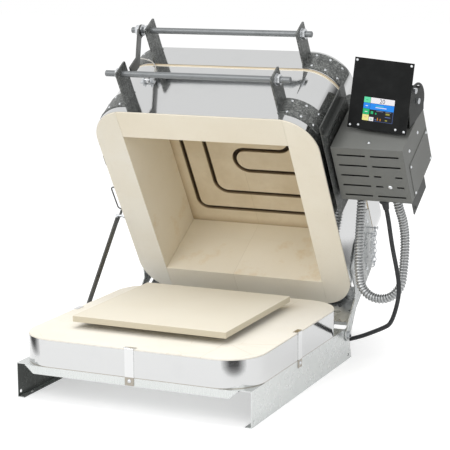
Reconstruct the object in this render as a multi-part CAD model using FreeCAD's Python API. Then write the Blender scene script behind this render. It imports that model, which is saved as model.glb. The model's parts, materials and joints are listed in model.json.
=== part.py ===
import FreeCAD, Part
import math
import os

from FreeCAD import Vector, Matrix

# Electric kiln: a clamshell shell of firebrick that tips back off a floor slab on a steel stand.
# Millimetres. X right, Y back, Z up; the origin is on the floor under the middle of the slab.
# The ring, the lid and all that they carry are drawn closed, then tipped open about the rear pivots.

# Firebrick body
OUTLINE = 495.3
CORNER_R = 76.2
WALL = 63.5
FLOOR_T = 56.0
LOWER_COURSE = 114.3
UPPER_COURSE = 50.8
ROOF_T = 63.5
CLOSED_GAP = 1.6
SEAM_GAP = 0.6
BRICK_PROUD = 2.5
SEAM_PROUD = 4.0
BRICK_JOINT = 0.3
BAND_T = 0.8

# Stand of folded sheet
STAND_H = 70.0
STAND_T = 1.6
SKIRT_FRONT = 7.5
SKIRT_REAR = 42.0
SKIRT_FLANGE = 14.0
LIP_H = 16.0
LIP_HALF_TOP = 225.0
LIP_HALF_LOW = 207.0
SKIRT_HOLE_D = 6.5
SKIRT_HOLE_IN = 10.0
SKIRT_HOLE_REAR = 20.0
SKIRT_HOLE_Z = 10.0
FOOT_HOLE_D = 6.5
FOOT_HOLE_Y = 200.0
EAR_R = 13.0

# Rear pivots of the shell and their shoulder bolts
PIVOT_BACK = 12.6
PIVOT_Z = 56.7
OPEN_ANGLE = 58.7
PIVOT_D = 8.0
PIVOT_CLEAR = 0.08
SIDE_CLEAR = 0.4
BOLT_HEAD = 13.0
BOLT_HEAD_T = 4.6
BOLT_IN = 14.0
BOLT_CLEAR = 0.2

# Shelf on posts
SHELF_W = 330.0
SHELF_D = 320.0
SHELF_T = 12.7
SHELF_EDGE = 1.5
SHELF_X = -6.0
SHELF_Y = 4.7
POST_W = 25.4
POST_H = 12.7
POST_IN = 70.0

# Clips that hold the slab down
CLIP_W = 19.0
CLIP_TAB_W = 25.0
CLIP_T = 1.2
CLIP_LAP = 10.0
CLIP_LOW = 55.0
CLIP_SCREW_Z = 64.0
CLIP_HOLE = 4.2
CLIP_HEAD = 8.0
CLIP_HEAD_T = 2.6
CLIP_SHANK = 4.0
CLIP_SHANK_L = 12.0
FRONT_CLIP_X = 3.0
SIDE_CLIP_Y = -5.7

# Lifting handles
ARM_X = 169.0
ARM_T = 3.2
ARM_W = 45.0
ARM_OUT = 81.0
ARM_EDGE = 3.0
RING_ARM_D = 45.0
LID_ARM_D = 198.5
ROD_OUT = 65.0
ROD_D = 12.7
ROD_EDGE = 1.0
ROD_LENGTH = 406.0
RING_ROD_X = -2.3
LID_ROD_X = -9.8
WRAP_W = 50.0
WRAP_T = 1.6
WRAP_SIDE = -26.0
WRAP_CORNER = 6.0
RIVET_D = 6.0
RIVET_H = 1.6
RIVET_ROWS = 2
RIVET_COUNT = 3
RIVET_APART = 34.0
RIVET_FIRST = -80.0
RIVET_STEP = 22.0
NUT_AF = 19.0
NUT_T = 8.0
WASHER_D = 24.0
WASHER_T = 1.6

# Hinge arms, their screws and the sheet between them
ARM_PLATE_T = 3.0
NECK_R = 14.0
ARM_SCREWS = ((-375, 90), (-375, 140), (-440, 140), (-466, 90), (-425, 30))
ARM_SCREW_D = 5.0
ARM_SCREW_HEAD = 9.0
ARM_SCREW_HEAD_T = 2.8
CROSS_T = 1.6
CROSS_TOP = 60.0
CROSS_LOW = -48.0
CROSS_FLANGE = 10.0
CROSS_CLEAR = 1.5

# Control box beside the ring
BOX_X = 262.0
BOX_W = 148.4
BOX_H = 133.4
BOX_DEPTH = 146.8
BOX_TOP_OUT = -78.6
BOX_FRONT_D = 22.2
BOX_T = 1.2
SLOT_H = 4.0
SLOT_PITCH = 25.3
SLOT_FIRST = 19.0
SLOT_L = 58.5
SLOT_GAP = 10.5
SLOT_SHORT = 15.0
SLOT_ROWS = 5
SPLIT_ROWS = (2, 3)
ACCESS_H = 78.0
ACCESS_IN = 1.0
ACCESS_FRONT = 20.0
ACCESS_BACK = 5.0
ACCESS_SCREW_IN = 6.0
BOX_SCREW_D = 7.0
BOX_SCREW_T = 2.4
SIDE_SCREW_DROP = 27.5
SIDE_SCREW_FRONT = 35.0
SIDE_SCREW_BACK = 53.0
ELECTRICS_GAP = 13.0
ELECTRICS_H = 46.0
ELECTRICS_T = 34.0
STRIP_H = 22.0
STRIP_WAYS = 6

# Standoffs, shield and rails between the ring and the box
STANDOFF_D = 10.0
STANDOFFS = ((-108, 40), (-108, 150), (-198, 40), (-198, 150))
SHIELD_GAP = 6.5
SHIELD_T = 1.0
SHIELD_LOW = -250.0
SHIELD_HIGH = -20.0
SHIELD_D0 = 8.0
SHIELD_SHORT = 4.0
RAIL_T = 2.0
RAIL_H = 20.0
RAIL_LEG = 12.0
RAIL_D1 = 132.0
BAR_OUT = -77.5
BAR_H = 11.5
BAR_D0 = 34.0
BAR_D1 = 110.0
RAIL_SCREWS = ((-29, 15), (-29, 120), (-72, 43), (-72, 101))
FOOT_W = 26.0
FOOT_H = 30.0
FOOT_D0 = 24.0
FOOT_D1 = 110.0

# Gland and conduit fittings
GLAND_X = 350.0
GLAND_DEPTH = 30.0
GLAND_L = 25.0
GLAND_D = 22.0
GLAND_FLANGE = 5.0
GLAND_HOLE = 14.0
FITTING_X = 350.0
FITTING_DEPTH = 96.0
FITTING_L = 14.0
FITTING_D = 26.0
FITTING_HOLE = 18.0

# Controller on its tilting bracket
SWIVEL = 8.1
TILT = 36.5
FACE_W = 128.0
FACE_H = 139.0
FACE_T = 2.0
FACE_LIFT = 8.6
FACE_X = 344.4
FACE_D = 69.1
FACE_SCREW_IN = 5.5
CASE_W = 112.0
CASE_LOW = 38.0
CASE_HIGH = 96.0
CASE_DEPTH = 54.0
CASE_WALL = 2.0
TILT_UP = 67.0
TILT_IN = 44.4
TILT_PIN = 5.0
YOKE_T = 2.0
YOKE_CLEAR = 0.5
YOKE_R = 36.0
YOKE_FRONT = -30.0
YOKE_BACK = -97.0
SLIDE_R = 28.3
SLIDE_REST = -9.0
SLIDE_LOW = -11.0
SLIDE_HIGH = 48.0
SLIDE_PIN = 5.0
KNOB_D = 12.0
KNOB_T = 5.0
SCREEN_W = 66.0
SCREEN_H = 46.0
SCREEN_UP = 18.0
SCREEN_LEFT = 0.6
SCREEN_T = 1.2
SCREEN_SUNK = 0.4
BOARD_T = 1.6
BOARD_LIFT = 6.0

# Roof element in its groove, seen from below, and the ends that leave through the right wall
GROOVE_W = 10.0
GROOVE_DEPTH = 11.0
COIL_D = 8.4
TAIL_D = 3.0
TAIL_HOLE = 6.0
COVER_OUT = 34.0
COVER_LOW = -300.0
COVER_HIGH = -99.0
COVER_D0 = 169.4
COVER_D1 = 222.0
TERMINAL_X = 268.0
TERMINAL_OUT = -250.0

# Hinges of the lid, behind the ring
HINGE_KNUCKLE = 10.0
HINGE_PIN = 5.0
HINGE_LEAF = 2.0
HINGE_LEAF_H = 40.0
HINGE_BACK = 7.0
HINGE_W = 76.0
HINGE_X = 150.0
HINGE_END = 0.3

# Prop strut on the left, the pin that it holds and the wire staple beside it
STRUT_Y = 15.0
STRUT_Z = 38.0
STRUT_W = 14.0
STRUT_T = 3.0
STRUT_X = -269.0
STUD_D = 6.0
STUD_HEAD = 11.0
STUD_HEAD_T = 4.0
STUD_CLEAR = 0.3
PIN_OUT = -294.0
PIN_DEPTH = 8.0
PIN_D = 6.0
PIN_COLLAR = 11.0
PIN_CLEAR = 0.5
TINE = 18.0
BAIL_WIRE = 3.0
BAIL_OUT = 15.5
BAIL_TOP = -215.0
BAIL_LOW = -277.0
BAIL_DEPTH = 12.0
LUG_OUT = 4.5
LUG_SPAN = ((-122, 0), (-124, 1), (-146, 1), (-162, 0))
LUG_D0 = 6.0
LUG_D1 = 20.0

# Keeper strap between the two rods
STRAP_T = 4.0
STRAP_W = 22.0
STRAP_EYE = 24.0
STRAP_CLEAR = 0.3
STRAP_TOP_X = -190.0
STRAP_MID_X = -163.0
STRAP_LOW_X = -151.0

# Clamp on the ring's band
CLAMP_X = -153.0
CLAMP_D = 105.0
CLAMP_W = 9.0
CLAMP_HALF = 7.0
CLAMP_OUT = 10.0
CLAMP_SCREW = 4.0

# Chain on the right arm
CHAIN_X = 262.0
LINK_L = 14.0
LINK_W = 9.5
LINK_WIRE = 2.2
LINK_SLACK = 0.2
LINK_BENDS = 4
LINK_SIDES = 6
CHAIN_PINS = ((-401, 130), (-402, 150))
CHAIN_PIN_D = 3.0
CHAIN_PIN_HEAD = 8.0
CHAIN_LOW = Vector(CHAIN_X, 388.0, 176.0)

# Conduit: down from the box, round a loop and up to the lid, as points of the open kiln
CONDUIT_D = 20.0
CONDUIT_LOOP = [(353, 275, 333), (359, 288, 304), (361, 297, 270), (361, 298, 235), (360, 293, 196),
                (359, 282, 162), (338, 272, 139), (307, 261, 138), (284, 250, 160), (280, 245, 195),
                (278, 247, 232), (276, 256, 270), (274, 267, 305), (272, 279, 338)]

# Power cord: the upper stretch hangs from the box, the lower one lies behind the stand
CORD_D = 9.0
CORD_UPPER = [(352, 228, 285), (356, 234, 250), (363, 237, 215), (369, 238, 180),
              (368.5, 237.5, 147), (357, 247, 115)]
CORD_LOWER = [(357, 247, 115), (348.375, 254.125, 91), (327, 264.5, 77), (304, 271.5, 65), (280, 277.5, 53),
              (257, 284.5, 43.5), (233, 293.5, 34), (210, 304, 23), (188, 313, 13.5), (168, 319.5, 7),
              (152, 322, 4.5), (139, 322, 4.5)]
COIL_X = 100.0
COIL_Y = 372.0
COIL_R = 50.0
COIL_LAYERS = 2
COIL_STUB = 20.0
PLUG_IN = 44.0
PLUG_NECK = 16.0
PLUG_L = 30.0
PLUG_D = 26.8

HALF = OUTLINE / 2
FRONT_Y = -HALF
FLOOR_TOP = STAND_H + FLOOR_T
RIM_Z = FLOOR_TOP + CLOSED_GAP
RING_H = LOWER_COURSE + UPPER_COURSE
LID_D = RING_H + SEAM_GAP
SKIN = HALF + BAND_T
PIVOT = Vector(0, HALF + PIVOT_BACK, PIVOT_Z)
CHAMBER = OUTLINE - 2 * WALL
ARM_INNER = SKIN + SIDE_CLEAR
ARM_OUTER = ARM_INNER + ARM_PLATE_T
BOX_BACK_D = BOX_FRONT_D + BOX_DEPTH
BOX_LOW_OUT = BOX_TOP_OUT - BOX_H

X_AXIS = Vector(1, 0, 0)
Y_AXIS = Vector(0, 1, 0)
Z_AXIS = Vector(0, 0, 1)


def save(name, *solids):
    """Write one node as a STEP file of its separate solids."""
    shape = solids[0] if len(solids) == 1 else Part.makeCompound(list(solids))
    shape.exportStep("parts/%s.step" % name)


def save_open(name, *solids):
    """Write a node of the shell, tipped from the closed position to the open one."""
    save(name, *[opened(solid) for solid in solids])


def opened(shape):
    """The shape tipped back about the rear pivots."""
    return shape.rotated(PIVOT, X_AXIS, -OPEN_ANGLE)


def mirrored(shape):
    """The same piece on the other side of the kiln."""
    return shape.mirror(Vector(0, 0, 0), X_AXIS)


def block(x0, x1, y0, y1, z0, z1):
    """A box between two corners."""
    return Part.makeBox(x1 - x0, y1 - y0, z1 - z0, Vector(x0, y0, z0))


def shell_point(x, out, depth):
    """A point of the closed shell: distance out from its front face and up from its rim."""
    return Vector(x, FRONT_Y - out, RIM_Z + depth)


def shell_block(x0, x1, out0, out1, d0, d1):
    """A box given in the shell's own distances."""
    return block(x0, x1, FRONT_Y - out1, FRONT_Y - out0, RIM_Z + d0, RIM_Z + d1)


def side_plate(points, x0, x1):
    """A flat plate parallel to the kiln's side, from an outline of (out, depth) points."""
    corners = [shell_point(x0, out, depth) for out, depth in points]
    face = Part.Face(Part.makePolygon(corners + corners[:1]))
    return face.extrude(Vector(x1 - x0, 0, 0))


def rounded_square(half, radius, z0, z1):
    """A square column with rounded corners."""
    solid = block(-half, half, -half, half, z0, z1)
    upright = [edge for edge in solid.Edges if abs(edge.tangentAt(edge.FirstParameter).z) > 0.9]
    return solid.makeFillet(radius, upright)


def sleeve(half, radius, wall, z0, z1):
    """A thin rounded band round the brick."""
    outer = rounded_square(half + wall, radius + wall, z0, z1)
    return outer.cut(rounded_square(half, radius, z0 - 1, z1 + 1))


def rod(start, end, diameter):
    """A round bar between two points."""
    axis = end.sub(start)
    return Part.makeCylinder(diameter / 2, axis.Length, start, axis)


def hexagon(start, axis, across, thickness, bore):
    """A hexagon nut with a plain bore."""
    circle = across / math.sqrt(3)
    side = axis.cross(Vector(0.3, 0.5, 0.8)).normalize()
    other = axis.cross(side).normalize()
    ring = []
    for step in range(6):
        angle = math.radians(60 * step)
        ring.append(start + side * (circle * math.cos(angle)) + other * (circle * math.sin(angle)))
    body = Part.Face(Part.makePolygon(ring + ring[:1])).extrude(axis * thickness)
    return body.cut(Part.makeCylinder(bore / 2, thickness * 3, start - axis * thickness, axis))


def washer(start, axis, outer, inner, thickness):
    """A flat round washer."""
    disc = Part.makeCylinder(outer / 2, thickness, start, axis)
    return disc.cut(Part.makeCylinder(inner / 2, thickness * 3, start - axis * thickness, axis))


def dome(base, axis, diameter, height):
    """A low rounded head, a cap of a sphere standing on a surface."""
    radius = (diameter * diameter / 4 + height * height) / (2 * height)
    ball = Part.makeSphere(radius, base - axis * (radius - height))
    keep = Part.makeCylinder(diameter, height * 2, base, axis)
    return ball.common(keep)


def tube(points, diameter, name=""):
    """A round lead along straight runs joined by tangent arcs."""
    edges = []
    here = points[0]
    radii = []
    for before, corner, after in zip(points, points[1:], points[2:]):
        come = corner.sub(before).normalize()
        leave = after.sub(corner).normalize()
        turn = come.getAngle(leave)
        if turn < 0.01:
            continue
        shorter = min(corner.sub(before).Length, after.sub(corner).Length)
        reach = 0.45 * shorter
        radius = reach / math.tan(turn / 2)
        inward = leave.sub(come).normalize()
        first = corner - come * reach
        last = corner + leave * reach
        middle = corner + inward * (math.hypot(radius, reach) - radius)
        edges.append(Part.LineSegment(here, first).toShape())
        edges.append(Part.Arc(first, middle, last).toShape())
        radii.append(round(radius))
        here = last
    edges.append(Part.LineSegment(here, points[-1]).toShape())
    path = Part.Wire(edges)
    start = points[1].sub(points[0]).normalize()
    section = Part.Wire(Part.makeCircle(diameter / 2, points[0], start))
    solid = path.makePipeShell([section], True, False)
    ideal = math.pi * diameter * diameter / 4 * path.Length
    if name:
        share = round(solid.Volume / ideal, 4)
        print(name, "length", round(path.Length), "radii", radii, "volume share", share)
    return solid


# Stand

def stand_pan():
    """Top sheet with a front lip, two side skirts with feet, and the rear pivot ears."""
    side = SKIN
    low = STAND_H - STAND_T
    top = block(-side, side, FRONT_Y + SKIRT_FRONT, SKIN, low, STAND_H)
    nose = block(-LIP_HALF_TOP, LIP_HALF_TOP, -SKIN, FRONT_Y + SKIRT_FRONT, low, STAND_H)
    lip_points = [(-LIP_HALF_TOP, STAND_H), (LIP_HALF_TOP, STAND_H),
                  (LIP_HALF_LOW, STAND_H - LIP_H), (-LIP_HALF_LOW, STAND_H - LIP_H)]
    corners = [Vector(x, -SKIN, z) for x, z in lip_points]
    lip = Part.Face(Part.makePolygon(corners + corners[:1])).extrude(Vector(0, STAND_T, 0))
    pan = top.fuse([nose, lip])
    for sign in (-1, 1):
        pan = pan.fuse(skirt(sign))
    return pan.removeSplitter()


def skirt(sign):
    """One side skirt with its foot flange, cut back behind, drilled for the pivot and the bench screws."""
    outer = sign * SKIN
    inner = sign * (SKIN - STAND_T)
    front = FRONT_Y + SKIRT_FRONT
    rear = HALF + SKIRT_REAR
    outline = [(front, 0), (rear, 0), (PIVOT.y + EAR_R, PIVOT.z), (PIVOT.y + EAR_R, PIVOT.z + 1),
               (PIVOT.y + 1, STAND_H), (front, STAND_H)]
    corners = [Vector(outer, y, z) for y, z in outline]
    plate = Part.Face(Part.makePolygon(corners + corners[:1])).extrude(Vector(inner - outer, 0, 0))
    ear = Part.makeCylinder(EAR_R, STAND_T, Vector(min(outer, inner), PIVOT.y, PIVOT.z), X_AXIS)
    foot = block(min(outer, outer - sign * SKIRT_FLANGE), max(outer, outer - sign * SKIRT_FLANGE),
                 front, rear, 0, STAND_T)
    piece = plate.fuse([ear, foot])
    bore = PIVOT_D / 2 + PIVOT_CLEAR
    start = min(outer, inner) - 1
    piece = piece.cut(Part.makeCylinder(bore, STAND_T + 2, Vector(start, PIVOT.y, PIVOT.z), X_AXIS))
    for y in (front + SKIRT_HOLE_IN, rear - SKIRT_HOLE_REAR):
        hole = Part.makeCylinder(SKIRT_HOLE_D / 2, STAND_T + 2, Vector(start, y, SKIRT_HOLE_Z), X_AXIS)
        piece = piece.cut(hole)
    for y in (-FOOT_HOLE_Y, FOOT_HOLE_Y):
        spot = Vector(outer - sign * SKIRT_FLANGE / 2, y, -1)
        piece = piece.cut(Part.makeCylinder(FOOT_HOLE_D / 2, STAND_T + 2, spot))
    if sign < 0:
        stud = Part.makeCylinder(STUD_D / 2, STAND_T + 2, Vector(start, STRUT_Y, STRUT_Z), X_AXIS)
        piece = piece.cut(stud)
    return piece


def floor_clip():
    """A strap bent over the slab edge and screwed to the stand below, drawn at the front."""
    half = CLIP_W / 2
    up = block(-half, half, -SKIN - CLIP_T, -SKIN, CLIP_LOW, FLOOR_TOP + CLIP_T)
    tab = block(-CLIP_TAB_W / 2, CLIP_TAB_W / 2, -SKIN, -SKIN + CLIP_LAP, FLOOR_TOP, FLOOR_TOP + CLIP_T)
    hole = Part.makeCylinder(CLIP_HOLE / 2, 3 * CLIP_T, Vector(0, -SKIN - 2 * CLIP_T, CLIP_SCREW_Z), Y_AXIS)
    strap = up.fuse(tab).removeSplitter()
    corner = Vector(0, -SKIN - CLIP_T, FLOOR_TOP + CLIP_T)
    bend = [edge for edge in strap.Edges if edge.CenterOfMass.distanceToPoint(corner) < 0.01]
    return strap.makeFillet(CLIP_T, bend).cut(hole)


def clip_screw():
    """The pan-head screw of the front clip, with its tip inside the sheet."""
    outside = -SKIN - CLIP_T
    head = dome(Vector(0, outside, CLIP_SCREW_Z), Vector(0, -1, 0), CLIP_HEAD, CLIP_HEAD_T)
    shank = rod(Vector(0, outside, CLIP_SCREW_Z), Vector(0, outside + CLIP_SHANK_L, CLIP_SCREW_Z),
                CLIP_SHANK)
    return head.fuse(shank)


def placed_round(shape, turn, dx, dy):
    """A front piece turned about the vertical axis to another side, then shifted along that side."""
    piece = shape.rotated(Vector(0, 0, 0), Z_AXIS, turn)
    piece.translate(Vector(dx, dy, 0))
    return piece


def clip_stations():
    """Turn and shift of the front, right and left clips."""
    return ((0, FRONT_CLIP_X, 0), (90, 0, SIDE_CLIP_Y), (-90, 0, SIDE_CLIP_Y))


def build_stand():
    pan = stand_pan()
    screw = clip_screw()
    for turn, dx, dy in clip_stations():
        pan = pan.cut(placed_round(screw, turn, dx, dy))
    save("stand_pan", pan)
    save("floor_slab", rounded_square(HALF, CORNER_R, STAND_H, FLOOR_TOP))
    save("floor_band", sleeve(HALF, CORNER_R, BAND_T, STAND_H, FLOOR_TOP - BRICK_PROUD))
    clip = floor_clip()
    save("floor_clips", *[placed_round(clip, *station) for station in clip_stations()])
    save("clip_screws", *[placed_round(screw, *station) for station in clip_stations()])
    posts = []
    for sx in (-1, 1):
        for sy in (-1, 1):
            x = SHELF_X + sx * (SHELF_W / 2 - POST_IN)
            y = SHELF_Y + sy * (SHELF_D / 2 - POST_IN)
            posts.append(block(x - POST_W / 2, x + POST_W / 2, y - POST_W / 2, y + POST_W / 2,
                               FLOOR_TOP, FLOOR_TOP + POST_H))
    save("kiln_posts", *posts)
    under = FLOOR_TOP + POST_H
    shelf = block(SHELF_X - SHELF_W / 2, SHELF_X + SHELF_W / 2, SHELF_Y - SHELF_D / 2,
                  SHELF_Y + SHELF_D / 2, under, under + SHELF_T)
    save("kiln_shelf", shelf.makeFillet(SHELF_EDGE, shelf.Edges))
    bolts = []
    for sign in (-1, 1):
        bolts += pivot_bolt(sign)
    save("hinge_bolts", *bolts)
    save("strut_stud", *strut_stud())


def pivot_bolt(sign):
    """A shoulder bolt through arm and skirt, with its nut inside the skirt."""
    axis = Vector(sign, 0, 0)
    face = Vector(sign * (ARM_OUTER + BOLT_CLEAR), PIVOT.y, PIVOT.z)
    inside = Vector(sign * (SKIN - STAND_T), PIVOT.y, PIVOT.z)
    head = hexagon(face, axis, BOLT_HEAD, BOLT_HEAD_T, 0.01)
    head = head.fuse(Part.makeCylinder(PIVOT_D / 2, BOLT_HEAD_T, face, axis))
    shank = rod(inside - axis * BOLT_IN, face, PIVOT_D)
    nut = hexagon(inside - axis * NUT_T, axis, BOLT_HEAD, NUT_T, PIVOT_D)
    return [head.fuse(shank), nut]


def strut_stud():
    """The strut's pivot bolt on the left skirt, with a spacer that stands it off."""
    axis = Vector(-1, 0, 0)
    skin = Vector(-SKIN, STRUT_Y, STRUT_Z)
    strut_face = Vector(STRUT_X - STUD_CLEAR, STRUT_Y, STRUT_Z)
    head = hexagon(strut_face, axis, STUD_HEAD, STUD_HEAD_T, 0.01)
    head = head.fuse(Part.makeCylinder(STUD_D / 2, STUD_HEAD_T, strut_face, axis))
    shank = rod(Vector(-SKIN + 10, STRUT_Y, STRUT_Z), strut_face, STUD_D)
    spacer = washer(skin, axis, 2 * STUD_D, STUD_D, abs(STRUT_X) - STRUT_T - SKIN - STUD_CLEAR)
    nut = hexagon(Vector(-SKIN + STAND_T, STRUT_Y, STRUT_Z), X_AXIS, STUD_HEAD, 5.0, STUD_D)
    return [head.fuse(shank), spacer, nut]


# Ring of brick

def brick_course(d0, d1):
    """One course of the ring: two long bricks at the sides and two shorter ones butted between them."""
    z0 = RIM_Z + d0
    z1 = RIM_Z + d1
    outline = rounded_square(HALF, CORNER_R, z0, z1)
    half = CHAMBER / 2
    butt = half - BRICK_JOINT
    bricks = []
    for sign in (-1, 1):
        near, far = sorted((sign * half, sign * HALF))
        bricks.append(outline.common(block(near, far, -HALF, HALF, z0, z1)))
        bricks.append(outline.common(block(-butt, butt, near, far, z0, z1)))
    return bricks


def corner_wrap(arm_d):
    """Plate folded round a front corner, with a flat arm standing out to carry the rod."""
    d0 = arm_d - WRAP_W / 2
    d1 = arm_d + WRAP_W / 2
    z0 = RIM_Z + d0
    z1 = RIM_Z + d1
    half = SKIN + WRAP_T
    shell = rounded_square(half, CORNER_R + BAND_T + WRAP_T, z0, z1)
    shell = shell.cut(rounded_square(SKIN, CORNER_R + BAND_T, z0 - 1, z1 + 1))
    keep = block(ARM_X - ARM_T / 2, half + 1, -half - 1, -half + CORNER_R + WRAP_SIDE, z0, z1)
    plate = shell.common(keep)
    end = -half + CORNER_R + WRAP_SIDE
    for z, middle in ((z0, z0 + WRAP_CORNER), (z1, z1 - WRAP_CORNER)):
        low, high = sorted((z, middle))
        corner = block(ARM_X, half + 1, end - WRAP_CORNER, end, low, high)
        arc = Part.makeCylinder(WRAP_CORNER, half + 2, Vector(0, end - WRAP_CORNER, middle), X_AXIS)
        plate = plate.cut(corner.cut(arc))
    arm = shell_block(ARM_X - ARM_T / 2, ARM_X + ARM_T / 2, BAND_T, ARM_OUT,
                      arm_d - ARM_W / 2, arm_d + ARM_W / 2)
    tips = [edge for edge in arm.Edges if edge.CenterOfMass.y < FRONT_Y - ARM_OUT + 1
            and abs(edge.tangentAt(edge.FirstParameter).x) > 0.9]
    arm = arm.makeFillet(ARM_EDGE, tips)
    piece = plate.fuse(arm).removeSplitter()
    hole = rod(shell_point(ARM_X - 10, ROD_OUT, arm_d), shell_point(ARM_X + 10, ROD_OUT, arm_d), ROD_D)
    return piece.cut(hole)


def wrap_rivets(arm_d):
    """Two rows of round heads on the curved part of a corner plate."""
    heads = []
    centre_x = HALF - CORNER_R
    centre_y = FRONT_Y + CORNER_R
    radius = CORNER_R + BAND_T + WRAP_T
    for row in range(RIVET_ROWS):
        depth = arm_d + (row - (RIVET_ROWS - 1) / 2) * RIVET_APART
        for step in range(RIVET_COUNT):
            angle = math.radians(RIVET_FIRST + step * RIVET_STEP)
            outward = Vector(math.cos(angle), math.sin(angle), 0)
            base = Vector(centre_x + radius * outward.x, centre_y + radius * outward.y, RIM_Z + depth)
            heads.append(dome(base, outward, RIVET_D, RIVET_H))
    return heads


def handle_rod(arm_d, shift):
    """The lifting bar through both arms."""
    start = shell_point(shift - ROD_LENGTH / 2, ROD_OUT, arm_d)
    end = shell_point(shift + ROD_LENGTH / 2, ROD_OUT, arm_d)
    bar = rod(start, end, ROD_D)
    ends = [edge for edge in bar.Edges if edge.Length < math.pi * ROD_D * 1.01 and edge.Closed]
    return bar.makeChamfer(ROD_EDGE, ends)


def rod_nuts(arm_d):
    """A washer and nut on the outer face of each arm."""
    pieces = []
    for sign in (-1, 1):
        axis = Vector(sign, 0, 0)
        face = shell_point(sign * (ARM_X + ARM_T / 2), ROD_OUT, arm_d)
        pieces.append(washer(face, axis, WASHER_D, ROD_D, WASHER_T))
        pieces.append(hexagon(face + axis * WASHER_T, axis, NUT_AF, NUT_T, ROD_D))
    return pieces


def hinge_arm():
    """The right-hand side plate that carries the ring on its pivot."""
    pivot_out = -OUTLINE - PIVOT_BACK
    pivot_d = PIVOT.z - RIM_Z
    outline = [(-470, 2), (-447, 12), (-400, 14), (-372, 60), (-352, 148), (-357, 160), (-440, 160),
               (-468, 145), (-485, 119), (-489, 72), (-494, -6), (-505, -30),
               (pivot_out - NECK_R, pivot_d + 4), (pivot_out - NECK_R, pivot_d),
               (pivot_out + NECK_R, pivot_d), (pivot_out + NECK_R + 6, pivot_d + 14), (-480, -30)]
    plate = side_plate(outline, ARM_INNER, ARM_OUTER)
    boss = Part.makeCylinder(NECK_R, ARM_PLATE_T, Vector(ARM_INNER, PIVOT.y, PIVOT.z), X_AXIS)
    arm = plate.fuse(boss).removeSplitter()
    bore = PIVOT_D / 2 + PIVOT_CLEAR
    arm = arm.cut(Part.makeCylinder(bore, 20, Vector(ARM_INNER - 10, PIVOT.y, PIVOT.z), X_AXIS))
    for out, depth in ARM_SCREWS:
        spot = shell_point(ARM_INNER - 5, out, depth)
        arm = arm.cut(Part.makeCylinder(ARM_SCREW_D / 2, 20, spot, X_AXIS))
    return arm


def arm_screws():
    """Screws from each arm through the band into the brick."""
    screws = []
    for out, depth in ARM_SCREWS:
        face = shell_point(ARM_OUTER, out, depth)
        start = shell_point(SKIN, out, depth)
        screw = dome(face, X_AXIS, ARM_SCREW_HEAD, ARM_SCREW_HEAD_T).fuse(rod(start, face, ARM_SCREW_D))
        spacer = washer(start, X_AXIS, ARM_SCREW_HEAD, ARM_SCREW_D, SIDE_CLEAR)
        screws += [screw, spacer]
    return screws + [mirrored(screw) for screw in screws]


def rear_cross_plate():
    """Sheet behind the ring between the arms, with a stiffening flange along its lower edge."""
    half = SKIN - STAND_T - CROSS_CLEAR
    back = -OUTLINE - BAND_T
    sheet = shell_block(-half, half, back - CROSS_T, back, CROSS_LOW, CROSS_TOP)
    flange = shell_block(-half, half, back - CROSS_FLANGE, back, CROSS_LOW, CROSS_LOW + CROSS_T)
    return sheet.fuse(flange).removeSplitter()


def build_ring():
    save_open("ring_lower_course", *brick_course(0, LOWER_COURSE))
    save_open("ring_upper_course", *brick_course(LOWER_COURSE, RING_H))
    band = sleeve(HALF, CORNER_R, BAND_T, RIM_Z + BRICK_PROUD, RIM_Z + RING_H - SEAM_PROUD)
    save_open("ring_band", band)
    wrap = corner_wrap(RING_ARM_D)
    save_open("ring_corner_plates", wrap, mirrored(wrap))
    rivets = wrap_rivets(RING_ARM_D)
    save_open("ring_rivets", *(rivets + [mirrored(rivet) for rivet in rivets]))
    save_open("ring_handle_rod", handle_rod(RING_ARM_D, RING_ROD_X))
    save_open("ring_rod_nuts", *rod_nuts(RING_ARM_D))
    arm = hinge_arm()
    save_open("hinge_arms", arm, mirrored(arm))
    save_open("arm_screws", *(arm_screws() + chain_pins()))
    save_open("rear_cross_plate", rear_cross_plate())
    save_open("side_bail", side_bail(), side_lug())
    save_open("band_clamp", *band_clamp())
    save_open("strut_pin", strut_pin())


def side_bail():
    """Wire staple beside the strut's pin."""
    skin = -SKIN
    x = skin - BAIL_OUT
    points = [shell_point(skin, BAIL_TOP, BAIL_DEPTH), shell_point(x, BAIL_TOP, BAIL_DEPTH),
              shell_point(x, BAIL_LOW, BAIL_DEPTH + 1), shell_point(skin, BAIL_LOW, BAIL_DEPTH + 1)]
    return tube(points, BAIL_WIRE)


def side_lug():
    """Small bent lug on the ring's left side, ahead of the staple."""
    corners = [shell_point(-SKIN - LUG_OUT * share, out, LUG_D0) for out, share in LUG_SPAN]
    return Part.Face(Part.makePolygon(corners + corners[:1])).extrude(Z_AXIS * (LUG_D1 - LUG_D0))


def band_clamp():
    """Two folded lugs on the band's front, drawn together by a screw and nut."""
    pieces = []
    for sign in (-1, 1):
        near = CLAMP_X + sign * CLAMP_HALF
        foot = shell_block(*sorted((near, near + sign * CLAMP_W)), BAND_T, BAND_T + BOX_T,
                           CLAMP_D - CLAMP_W / 2, CLAMP_D + CLAMP_W / 2)
        lug = shell_block(*sorted((near, near + sign * BOX_T)), BAND_T, CLAMP_OUT,
                          CLAMP_D - CLAMP_W / 2, CLAMP_D + CLAMP_W / 2)
        pieces.append(foot.fuse(lug).removeSplitter())
    spot = (CLAMP_OUT - CLAMP_SCREW, CLAMP_D)
    outside = CLAMP_HALF + BOX_T
    screw = rod(shell_point(CLAMP_X - outside - CLAMP_W / 2, *spot), shell_point(CLAMP_X + outside, *spot),
                CLAMP_SCREW)
    head = dome(shell_point(CLAMP_X + outside, *spot), X_AXIS, 2 * CLAMP_SCREW, CLAMP_SCREW / 2)
    nut = hexagon(shell_point(CLAMP_X - outside, *spot), Vector(-1, 0, 0), 2 * CLAMP_SCREW,
                  CLAMP_SCREW * 0.8, CLAMP_SCREW)
    pieces = [piece.cut(screw) for piece in pieces]
    return pieces + [screw.fuse(head), nut]


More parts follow.
